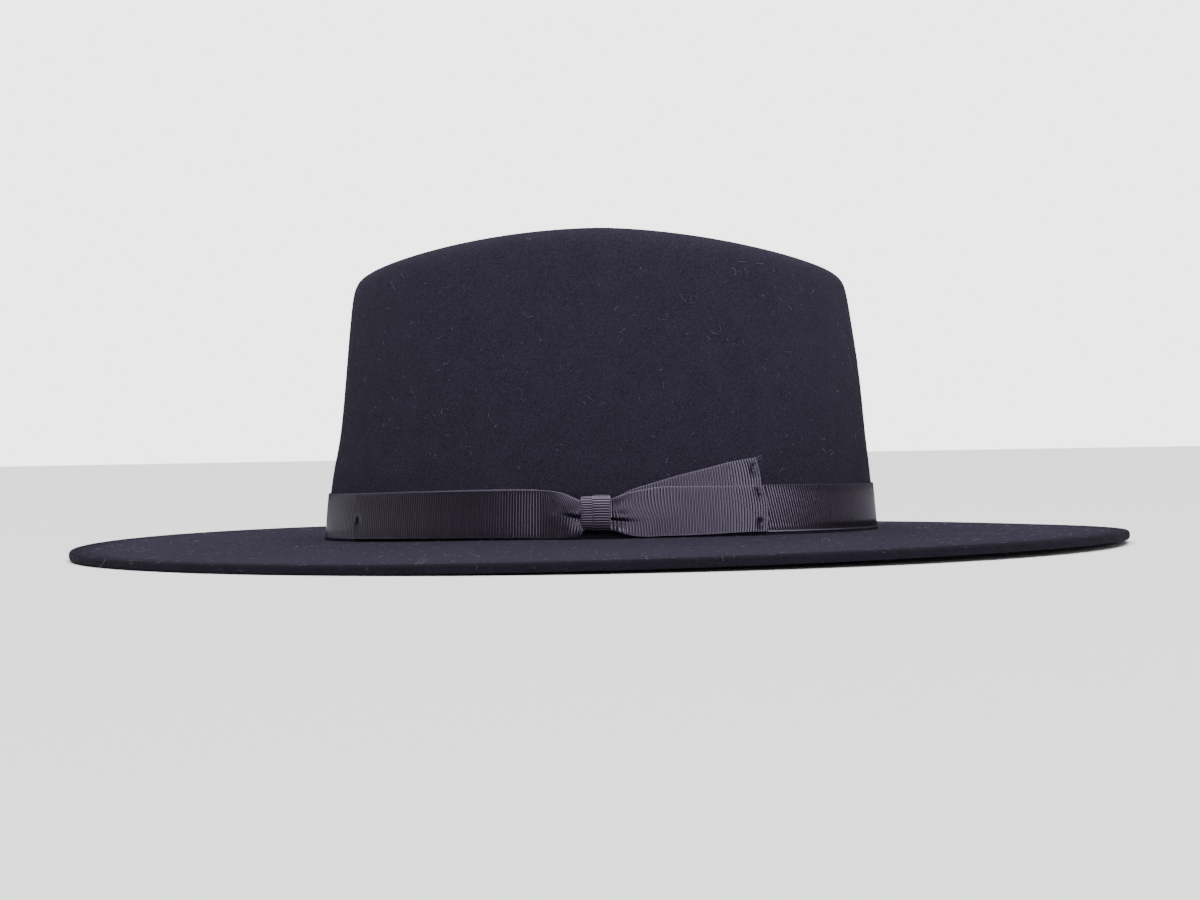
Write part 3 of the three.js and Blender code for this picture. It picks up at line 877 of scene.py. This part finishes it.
# %% Left loop
LEFT_DRAG_FROM, LEFT_DRAG_TO = 4 * MM, 20 * MM
LEFT_DRAG_ABOVE, LEFT_DRAG_BELOW = 4.5, 1.2  # millimetres at the upper and the lower edge
LEFT_DRAG_CURVE = 1.3


def left_bend(distance, across):
    near = 1 - smooth(LEFT_DRAG_FROM, LEFT_DRAG_TO, distance)
    above = LEFT_DRAG_ABOVE * max(0.0, across) ** LEFT_DRAG_CURVE
    return near * MM * (above + LEFT_DRAG_BELOW * max(0.0, -across))


left_shape = {
    "rows": LEFT_LOOP_ROWS,
    "length": LEFT_LOOP_LENGTH,
    "ease_from": 0.085 * LEFT_LOOP_LENGTH,
    "seat": CLEARANCE,
    "thickness": LOOP_THICKNESS,
    "neck_seat": LOOP_SEAT,
    "neck_thickness": NECK_THICKNESS,
    "folded": True,
    "crease": 0.0,
    "tacks": ((93.4, -1.8),),
}
left_loop = bow_strip("left_loop", -1, left_shape, left_bend)

# %% [markdown]
# The right loop is shorter and puffier. Its ribs are dragged into an S beside the knot, and bow
# outwards at the fold, where stitches hold its corners.

# %% Right loop
RIGHT_DRAG_FROM, RIGHT_DRAG_FULL, RIGHT_DRAG_LESS, RIGHT_DRAG_TO = 5 * MM, 9 * MM, 12 * MM, 30 * MM
RIGHT_DRAG = 1.5 * MM
RIGHT_DRAG_CURVE = 2.5
RIGHT_FOLD_FROM, RIGHT_FOLD_TO = 38 * MM, 58 * MM
RIGHT_FOLD_BOW = 0.9 * MM


def right_bend(distance, across):
    near = smooth(RIGHT_DRAG_FROM, RIGHT_DRAG_FULL, distance)
    near *= 1 - smooth(RIGHT_DRAG_LESS, RIGHT_DRAG_TO, distance)
    fold = smooth(RIGHT_FOLD_FROM, RIGHT_FOLD_TO, distance) * RIGHT_FOLD_BOW * (1 - across * across)
    return fold - near * RIGHT_DRAG * math.tanh(RIGHT_DRAG_CURVE * across)


right_shape = {
    "rows": RIGHT_LOOP_ROWS,
    "length": RIGHT_LOOP_REACH,
    "ease_from": 0.12 * RIGHT_LOOP_LENGTH,
    "seat": LOOP_SEAT,
    "thickness": LOOP_THICKNESS,
    "neck_seat": LOOP_SEAT + RIBBON_THICKNESS + CLEARANCE,
    "neck_thickness": NECK_THICKNESS - RIBBON_THICKNESS - CLEARANCE,
    "folded": True,
    "crease": -0.35,
    "tacks": ((55.8, 5.4), (55.6, -4.9)),
}
right_loop = bow_strip("right_loop", 1, right_shape, right_bend)

# %% [markdown]
# The tail is the ribbon's other end. It fans up behind the right loop and is cut across, unhemmed.
# Its last ribs hang loose, so they bow outwards in the middle, and the upper corner lags behind.

# %% Tail
TAIL_LOOSE_FROM, TAIL_LOOSE_TO = 44 * MM, 56 * MM
TAIL_BOW = 1.2 * MM
TAIL_CORNER_LAG = 0.2  # of the bow


def tail_bend(distance, across):
    end = smooth(TAIL_LOOSE_FROM, TAIL_LOOSE_TO, distance)
    return end * TAIL_BOW * ((1 - across * across) - TAIL_CORNER_LAG * max(0.0, across) ** 4)


tail_shape = {
    "rows": TAIL_ROWS,
    "length": TAIL_REACH,
    "ease_from": 0.13 * TAIL_LENGTH,
    "seat": CLEARANCE,
    "thickness": RIBBON_THICKNESS,
    "neck_seat": LOOP_SEAT,
    "neck_thickness": RIBBON_THICKNESS,
    "folded": False,
    "crease": 0.0,
    "tacks": ((55.3, 13.4),),
}
ribbon_tail = bow_strip("ribbon_tail", 1, tail_shape, tail_bend)

# %% [markdown]
# The knot is a short ribbon wrapped round the gathered middle, so its ribs lie level. Its end comes
# round over its beginning, and the border of that upper turn shows as a light line on the front, which
# is the ribbon's painted border highlight. It is made as two rings that overlap. Their section is a
# rounded box, which is an ellipse with a higher power.

# %% Knot
KNOT_RIBS = 32
KNOT_POWER = 3.4  # 2 is an ellipse, and a higher power is squarer
KNOT_RIBBON_SHARE = 0.65  # of the knot's width: about how wide one turn is
HALF_DEGREES = 720
LOWER_TURN = (-0.5, 0.16)  # from and to, as shares of the knot's width
UPPER_TURN = (-0.13, 0.45)
TURN_GAP = 0.42 * MM  # how far the upper turn stands off the lower one


def knot_section(grown):
    """Points of the wrapped ribbon's middle line, evenly spaced, as height and stand-off."""
    half_height = (KNOT_HEIGHT - RIBBON_THICKNESS) / 2 + grown
    low = LOOP_SEAT - CLEARANCE - RIBBON_THICKNESS / 2
    high = LOOP_SEAT + NECK_THICKNESS + CLEARANCE + RIBBON_THICKNESS / 2
    middle, half_depth = (low + high) / 2, (high - low) / 2
    fine = []
    for k in range(HALF_DEGREES + 1):
        turn = math.radians(k / 2)
        c, s = math.cos(turn), math.sin(turn)
        up = math.copysign(abs(c) ** (2 / KNOT_POWER), c) * half_height
        out = middle + math.copysign(abs(s) ** (2 / KNOT_POWER), s) * half_depth + max(0.0, s) * grown
        fine.append(Vector((up, out)))
    lengths = [0.0]
    for before, after in zip(fine, fine[1:]):
        lengths.append(lengths[-1] + (after - before).length)
    section = []
    for k in range(KNOT_RIBS * RIB_STEPS):
        place = lengths[-1] * k / (KNOT_RIBS * RIB_STEPS)
        n = bisect.bisect_right(lengths, place) - 1
        share = (place - lengths[n]) / (lengths[n + 1] - lengths[n])
        section.append(fine[n].lerp(fine[n + 1], share))
    return section


def knot_turn(span, grown):
    first, last = (share * KNOT_WIDTH for share in span)
    columns = []
    for up, out in knot_section(grown):
        column = []
        for across in ACROSS:
            distance = first + (across + 1) / 2 * (last - first)
            column.append(beside_band(distance, up - KNOT_DROP, BAND_FACE + out))
        columns.append(column)
    return columns


knot_runs = [(knot_turn(LOWER_TURN, 0.0), True), (knot_turn(UPPER_TURN, TURN_GAP), True)]
knot_wrap = ribbon_sheet("knot_wrap", knot_runs, width=KNOT_RIBBON_SHARE * KNOT_WIDTH)

# %% [markdown]
# Hairs and lint are far too many to model one by one, so they are scattered over the outside of the
# felt, each one turned and sized at random. Where a face looks up or outwards it is outside. The
# hollow and the faces that look down stay bare, so nothing pokes through the floor.

# %% Scatter on the outside of the felt
OUTSIDE = 0.3  # how far up or outwards a face looks, from 0 to 1
UNDERSIDE = -0.3  # a face that looks down further than this is left out


def outside_points(net, sockets):
    """Adds scattered points on the outer felt. Returns them with the way each one stands."""
    normal = net.add("GeometryNodeInputNormal").outputs["Normal"]
    level = net.vector("MULTIPLY", net.add("GeometryNodeInputPosition").outputs[0], (1, 1, 0))
    outwards = net.vector("DOT_PRODUCT", normal, net.vector("NORMALIZE", level))
    upwards = net.vector("DOT_PRODUCT", normal, (0, 0, 1))
    looks_out = net.math("GREATER_THAN", net.math("MAXIMUM", outwards, upwards), OUTSIDE)
    looks_down = net.math("LESS_THAN", upwards, UNDERSIDE)
    looks_out = net.math("MULTIPLY", looks_out, net.math("SUBTRACT", 1.0, looks_down))
    inputs = {"Mesh": sockets["Geometry"], "Selection": looks_out}
    inputs |= {"Density": sockets["Density"], "Seed": sockets["Seed"]}
    points = net.add("GeometryNodeDistributePointsOnFaces", inputs)
    return points.outputs["Points"], points.outputs["Rotation"]


def chance(net, data_type, low, high, seed):
    """A random value for each point. The node keeps a socket of each type, and only one set is on."""
    node = net.add("FunctionNodeRandomValue", data_type=data_type)
    sockets = {socket.name: socket for socket in node.inputs if socket.enabled}
    for name, value in (("Min", low), ("Max", high), ("Seed", seed)):
        net.feed(sockets[name], value)
    return next(socket for socket in node.outputs if socket.enabled)


def scatter_shape(net, sockets, output, shape, tilt, sizes, pick=False):
    """Puts a shape on the outer felt, each one turned and sized at random, as real geometry."""
    points, standing = outside_points(net, sockets)
    seed = net.math("ADD", sockets["Seed"], 1)
    turn = chance(net, "FLOAT_VECTOR", (-tilt, -tilt, 0), (tilt, tilt, 2 * math.pi), seed)
    turned = net.add(
        "FunctionNodeRotateRotation", {"Rotation": standing, "Rotate By": turn}, rotation_space="LOCAL"
    )
    scale = chance(net, "FLOAT", *sizes, net.math("ADD", seed, 1))
    inputs = {"Points": points, "Instance": shape, "Rotation": turned.outputs[0], "Scale": scale}
    if pick:
        inputs["Pick Instance"] = True
    placed = net.add("GeometryNodeInstanceOnPoints", inputs)
    solid = net.add("GeometryNodeRealizeInstances", {"Geometry": placed.outputs[0]})
    inputs = {"Geometry": solid.outputs[0], "Material": sockets["Material"]}
    net.feed(output.inputs["Geometry"], net.add("GeometryNodeSetMaterial", inputs).outputs[0])


print("scatter helpers ready")

# %% [markdown]
# A real felt edge is never a clean line: short hairs stand out from it. Each one is a thin cone with
# three sides, which is enough at this size, and leans a different way.

# %% Nap
NAP_TILT = 1.1  # radians, at most, about each of two axes
NAP_SIZES = (0.5, 1.3)  # of the length
nap_net, nap_in, nap_out = new_tree(
    "Nap",
    "GeometryNodeTree",
    {
        "Geometry": GEOMETRY,
        "Density": number(330_000.0),
        "Length": number(0.7 * MM),
        "Thickness": number(0.05 * MM),
        "Seed": whole(3),
        "Material": MATERIAL,
    },
    {"Geometry": "NodeSocketGeometry"},
)
nap_radius = nap_net.math("MULTIPLY", nap_in["Thickness"], 0.5)
nap_hair = nap_net.add(
    "GeometryNodeMeshCone",
    {"Vertices": 3, "Radius Top": 0.0, "Radius Bottom": nap_radius, "Depth": nap_in["Length"]},
    fill_type="NONE",
)
scatter_shape(nap_net, nap_in, nap_out, nap_hair.outputs["Mesh"], NAP_TILT, NAP_SIZES)


def on_felt(name, tree, values):
    """A new object grown by a tree on a copy of the felt."""
    grown = new_object(name, crown_and_brim.data.copy())
    use_tree(grown, tree, values)
    return settle(grown, values["Material"])


felt_nap = on_felt("felt_nap", nap_net.tree, {"Density": 330_000.0, "Seed": 3, "Material": nap_fibre})

# %% [markdown]
# Wool felt also gathers lint: single curly hairs, lighter than the felt, a few millimetres long. Four
# arcs with different curls are kinked by a noise, picked at random and laid on the felt at any angle,
# slightly raised. A second lot is half as large and lies between the first.

# %% Lint
lint_net, lint_in, lint_out = new_tree(
    "Lint",
    "GeometryNodeTree",
    {
        "Geometry": GEOMETRY,
        "Density": number(5000.0),
        "Curl Radius": number(1.25 * MM),
        "Thickness": number(0.06 * MM),
        "Seed": whole(8),
        "Material": MATERIAL,
    },
    {"Geometry": "NodeSocketGeometry"},
)
LINT_CURLS = (  # radius as a share of the curl radius, sweep in radians
    (0.5, 4.6),
    (0.9, 3.6),
    (1.3, 2.4),
    (2.4, 1.1),
)
LINT_STEPS = 10
LINT_KINK = 3.0  # of the curl radius, for the noise's full range
LINT_FLATNESS = (1, 1, 0.15)  # the kinks lie mostly in the felt's own plane
LINT_MIDDLE = -0.8  # moves each arc back over its point, as a share of its radius
LINT_TILT = 0.35  # radians, as for the nap
LINT_SIZES = (0.5, 1.4)  # of the curl radius
lint_profile = lint_net.add(
    "GeometryNodeCurvePrimitiveCircle",
    {"Resolution": 3, "Radius": lint_net.math("MULTIPLY", lint_in["Thickness"], 0.5)},
)
lint_curls = lint_net.add("GeometryNodeGeometryToInstance")
lint_place = lint_net.add("GeometryNodeInputPosition").outputs[0]
lint_scale = lint_net.math("DIVIDE", 1.0, lint_in["Curl Radius"])
for curl_share, sweep in LINT_CURLS:
    radius = lint_net.math("MULTIPLY", lint_in["Curl Radius"], curl_share)
    arc = lint_net.add(
        "GeometryNodeCurveArc",
        {"Resolution": LINT_STEPS, "Radius": radius, "Start Angle": -sweep / 2, "Sweep Angle": sweep},
    )
    noise_inputs = {"Vector": lint_place, "Scale": lint_scale, "W": sweep}
    kinks = lint_net.add("ShaderNodeTexNoise", noise_inputs, noise_dimensions="4D").outputs["Color"]
    kinks = lint_net.vector("SUBTRACT", kinks, (0.5, 0.5, 0.5))
    kinks = lint_net.vector("MULTIPLY", kinks, LINT_FLATNESS)
    kinks = lint_net.vector("SCALE", kinks, lint_net.math("MULTIPLY", lint_in["Curl Radius"], LINT_KINK))
    middle = lint_net.add("ShaderNodeCombineXYZ", {"X": lint_net.math("MULTIPLY", radius, LINT_MIDDLE)})
    shift = lint_net.vector("ADD", kinks, middle.outputs[0])
    bent = lint_net.add("GeometryNodeSetPosition", {"Geometry": arc.outputs[0], "Offset": shift})
    hair = lint_net.add(
        "GeometryNodeCurveToMesh",
        {"Curve": bent.outputs[0], "Profile Curve": lint_profile.outputs[0], "Fill Caps": True},
    )
    lint_net.feed(lint_curls.inputs[0], hair.outputs[0])
scatter_shape(lint_net, lint_in, lint_out, lint_curls.outputs[0], LINT_TILT, LINT_SIZES, pick=True)
LINT_VALUES = {"Density": 5000.0, "Curl Radius": 1.25 * MM, "Thickness": 0.06 * MM, "Seed": 8}
lint = on_felt("lint", lint_net.tree, {**LINT_VALUES, "Material": lint_fibre})
FINE_VALUES = {"Density": 12000.0, "Curl Radius": 0.6 * MM, "Thickness": 0.05 * MM, "Seed": 21}
fine_lint = on_felt("fine_lint", lint_net.tree, {**FINE_VALUES, "Material": lint_fibre})

# %% [markdown]
# A few hand stitches tack the bow to the band, and the cut end of the tail frays. Both are short
# threads between two points, so one tree makes them: each edge of a mesh becomes a curve, rises in
# the middle, wanders a little if it is loose, and gets a round section.

# %% Threads
thread_net, thread_in, thread_out = new_tree(
    "Threads",
    "GeometryNodeTree",
    {
        "Geometry": GEOMETRY,
        "Thread Radius": number(0.2 * MM),
        "Rise": number(0.2 * MM),
        "Wander": number(0.0),
        "Wander Size": number(1.5 * MM),
        "Material": MATERIAL,
    },
    {"Geometry": "NodeSocketGeometry"},
)
THREAD_POINTS = 9
THREAD_SIDES = 6
thread_curve = thread_net.add("GeometryNodeMeshToCurve", {"Mesh": thread_in["Geometry"]})
thread_curve = thread_net.add(
    "GeometryNodeResampleCurve", {"Curve": thread_curve.outputs[0], "Count": THREAD_POINTS}
)
thread_share = thread_net.add("GeometryNodeSplineParameter").outputs["Factor"]
thread_arch = thread_net.math("SINE", thread_net.math("MULTIPLY", thread_share, math.pi))
thread_way = thread_net.add(
    "GeometryNodeInputNamedAttribute", {"Name": "out"}, data_type="FLOAT_VECTOR"
).outputs["Attribute"]
thread_rise = thread_net.vector(
    "SCALE", thread_way, thread_net.math("MULTIPLY", thread_arch, thread_in["Rise"])
)
wander_scale = thread_net.math("DIVIDE", 1.0, thread_in["Wander Size"])
thread_place = thread_net.add("GeometryNodeInputPosition").outputs[0]
wander = thread_net.add(
    "ShaderNodeTexNoise", {"Vector": thread_place, "Scale": wander_scale, "Detail": 1.0}
).outputs["Color"]
wander = thread_net.vector("SUBTRACT", wander, (0.5, 0.5, 0.5))
loose = thread_net.math("MULTIPLY", thread_net.math("MULTIPLY", thread_share, thread_in["Wander"]), 2.0)
thread_offset = thread_net.vector("ADD", thread_rise, thread_net.vector("SCALE", wander, loose))
thread_curve = thread_net.add(
    "GeometryNodeSetPosition", {"Geometry": thread_curve.outputs[0], "Offset": thread_offset}
)
thread_profile = thread_net.add(
    "GeometryNodeCurvePrimitiveCircle",
    {"Resolution": THREAD_SIDES, "Radius": thread_in["Thread Radius"]},
)
thread_mesh = thread_net.add(
    "GeometryNodeCurveToMesh",
    {"Curve": thread_curve.outputs[0], "Profile Curve": thread_profile.outputs[0], "Fill Caps": True},
)
thread_mesh = thread_net.add("GeometryNodeRealizeInstances", {"Geometry": thread_mesh.outputs[0]})
thread_mesh = thread_net.add(
    "GeometryNodeSetMaterial", {"Geometry": thread_mesh.outputs[0], "Material": thread_in["Material"]}
)
thread_net.feed(thread_out.inputs["Geometry"], thread_mesh.outputs[0])


def threads(name, ends, values):
    """An object of short threads from pairs of points and the way out of the cloth at each pair."""
    points = [point for first, last, _ in ends for point in (first, last)]
    mesh = bpy.data.meshes.new(name)
    mesh.from_pydata(points, [(2 * k, 2 * k + 1) for k in range(len(ends))], [])
    ways = [value for _, _, way in ends for value in (*way, *way)]
    mesh.attributes.new("out", "FLOAT_VECTOR", "POINT").data.foreach_set("vector", ways)
    piece = new_object(name, mesh)
    use_tree(piece, thread_net.tree, values)
    return settle(piece, values["Material"])


print("tree:", thread_net.tree.name)

# %% [markdown]
# The stitches are placed by their distance from the knot and their height on the ribbon. The right
# loop shows two near its fold, the left loop one, and the tail has one near its upper corner. Those
# on the right are two short threads each.

# %% Stitches
STITCHES = (  # distance, height and stand-off of one end, then of the other, in millimetres
    (-93.5, -0.4, 1.4, -93.3, -2.7, 1.4),
    (55.2, 6.9, 2.4, 55.7, 6.0, 2.15),
    (55.5, 5.7, 2.1, 56.2, 4.7, 2.25),
    (54.7, -5.4, 2.2, 55.6, -4.9, 2.0),
    (55.4, -4.6, 2.05, 56.3, -4.0, 2.3),
    (54.6, 13.0, 0.8, 55.3, 13.7, 0.65),
    (55.2, 14.4, 0.7, 56.1, 15.3, 0.95),
)


def way_out(distance):
    """The direction straight out of the band at a distance from the bow's middle."""
    return oval(angle_at(distance - BOW_AHEAD))[1]


def stitch_ends():
    ends = []
    for row in STITCHES:
        first, last = [
            beside_band(d * MM, h * MM, BAND_FACE + off * MM) for d, h, off in (row[:3], row[3:])
        ]
        ends.append((first, last, way_out(row[0] * MM)))
    return ends


tack_stitches = threads("tack_stitches", stitch_ends(), {
    "Thread Radius": 0.26 * MM, "Rise": 0.2 * MM, "Wander": 0.0, "Material": sewing_thread,
})

# %% [markdown]
# Where the tail was cut, its lengthwise threads stick out past the last rib, most of all at the top
# corner. Their lengths and slants are random but seeded, so each run gives the same fringe.

# %% Frayed end
FRAY_COUNT = 34
FRAY_SEED = 11
FRAY_CORNER_FROM = 0.6  # from here to the upper edge the threads get longer and wilder
FRAY_REACH, CORNER_REACH = 0.7, 1.5  # millimetres, the second one more at the corner
FRAY_SHORTEST = 0.3  # of the longest thread at the same place
FRAY_SLANT, CORNER_SLANT = 0.3, 1.0
FRAY_RISE = 0.8
FRAY_LIFT = 0.6  # millimetres off the cloth
FRAY_ROOT = 0.5 * MM


def fray_ends():
    draw = random.Random(FRAY_SEED).uniform
    row = row_at(TAIL_ROWS, 1.0)
    half = row["width"] * RIBBON_WIDTH / 2
    stand_off = BAND_FACE + CLEARANCE + RIBBON_THICKNESS / 2
    ends = []
    for _ in range(FRAY_COUNT):
        across = draw(-1, 1)
        height = across * half - row["drop"] * RIBBON_WIDTH
        start = TAIL_REACH - row["lean"] * across * half
        corner = smooth(FRAY_CORNER_FROM, 1.0, across)
        reach = draw(FRAY_SHORTEST, 1.0) * (FRAY_REACH + CORNER_REACH * corner) * MM
        rise = draw(-FRAY_RISE, FRAY_RISE) * (FRAY_SLANT + CORNER_SLANT * corner) * MM
        first = beside_band(start - FRAY_ROOT, height, stand_off)
        last = beside_band(start + reach, height + rise, stand_off + draw(0, FRAY_LIFT) * MM)
        ends.append((first, last, way_out(start)))
    return ends


tail_fray = threads("tail_fray", fray_ends(), {
    "Thread Radius": 0.09 * MM, "Rise": 0.15 * MM, "Wander": 0.9 * MM, "Material": ribbon,
})

# %% [markdown]
# The hat was photographed on white, so the floor is a plain pale disc, wide enough that its rim never
# shows. It lies a tenth of a millimetre under the brim, so that the two faces never fight.

# %% Floor
FLOOR_RADIUS = 12
FLOOR_SIDES = 96
FLOOR_COLOUR = (0.86, 0.86, 0.87, 1)
FLOOR_DROP = 0.1 * MM


def floor_disc():
    mesh = bmesh.new()
    bmesh.ops.create_circle(mesh, cap_ends=True, segments=FLOOR_SIDES, radius=FLOOR_RADIUS)
    made = bpy.data.meshes.new("floor")
    mesh.to_mesh(made)
    mesh.free()
    return made


floor = new_object("floor", floor_disc())
floor.location.z = -FLOOR_DROP
floor_material, _, floor_shader = new_material("pale_floor")
set_shader(floor_shader, {"Base Color": FLOOR_COLOUR, "Roughness": 0.8, "Specular IOR Level": 0.1})
floor.data.materials.append(floor_material)
print("floor:", FLOOR_RADIUS, "m")

# %% [markdown]
# The light is soft. A key light low in front on the right draws the ribs of the ribbon, one on the
# left and a little behind rounds the crown, and one from above lights the brim. The surround is
# bright overhead and nearly dark at the sides, as under a large softbox. Where the camera sees it,
# it is an even pale grey, close to the white of the photo.

# %% Light
SKY_LOW, SKY_HIGH = 0.02, 6.2  # the surround's strength at the sides and overhead
SKY_FROM, SKY_TO = 0.6, 1.0  # how far up it begins and ends, as the height of a direction
BACKDROP = 3.6  # its strength where the camera sees it
LIGHT_TARGET = Vector((0, 0, 60 * MM))
LIGHT_AWAY = 2.0
LIGHTS = (  # name, watts, size, azimuth and elevation in degrees
    ("key_light", 13, 0.9, 29, 13),
    ("left_light", 3.2, 1.3, -106, 14),
    ("top_light", 2.4, 0.9, 10, 46),
)


def soft_light(name, watts, size, place):
    light = bpy.data.lights.new(name, "AREA")
    light.energy = watts
    light.shape = "DISK"
    light.size = size
    lamp = bpy.data.objects.new(name, light)
    lamp.location = place
    lamp.rotation_euler = (LIGHT_TARGET - place).to_track_quat("-Z", "Y").to_euler()
    bpy.context.collection.objects.link(lamp)


def around(azimuth, elevation, away):
    """A place seen from the hat, with azimuth 0 towards the camera and 90 towards the hat's back."""
    turn, rise = math.radians(azimuth), math.radians(elevation)
    level = math.cos(rise)
    return Vector((math.sin(turn) * level, -math.cos(turn) * level, math.sin(rise))) * away


for light_name, watts, size, azimuth, elevation in LIGHTS:
    soft_light(light_name, watts, size, around(azimuth, elevation, LIGHT_AWAY))

world = bpy.data.worlds.new("surround")
world.use_nodes = True
sky_net = Net(world.node_tree)
sky_place = sky_net.add("ShaderNodeTexCoord").outputs["Generated"]
upward = sky_net.add("ShaderNodeSeparateXYZ", {"Vector": sky_place}).outputs["Z"]
sky = sky_net.remap(upward, SKY_FROM, SKY_TO, SKY_LOW, SKY_HIGH)
seen = sky_net.add("ShaderNodeLightPath").outputs["Is Camera Ray"]
strength = sky_net.add("ShaderNodeMix", data_type="FLOAT")
sky_net.feed(strength.inputs[0], seen)
sky_net.feed(strength.inputs[2], sky)
sky_net.feed(strength.inputs[3], BACKDROP)
background = world.node_tree.nodes["Background"]
background.inputs["Color"].default_value = (1, 1, 1, 1)
sky_net.feed(background.inputs["Strength"], strength.outputs[0])
bpy.context.scene.world = world

# %% [markdown]
# Each piece is tied to the frame: it rides on the one body, and stands for the frame's node of the same
# part, which is hidden.

# %% Tie the pieces to the frame
TIES = (
    (crown_and_brim, "felt_body", "felt"),
    (ribbon_band, "hat_band", "ribbon"),
    (left_loop, "bow_left_loop", "ribbon"),
    (right_loop, "bow_right_loop", "ribbon"),
    (ribbon_tail, "bow_tail", "ribbon"),
    (knot_wrap, "bow_knot", "ribbon"),
)
for piece, node, slot in TIES:
    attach(piece, "root")
    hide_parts(node)

EXTRAS = (
    (felt_nap, "felt"),
    (lint, "felt"),
    (fine_lint, "felt"),
    (tack_stitches, "ribbon"),
    (tail_fray, "ribbon"),
)
for piece, slot in EXTRAS:
    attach(piece, "root")

print("tied:", len(TIES), "pieces")
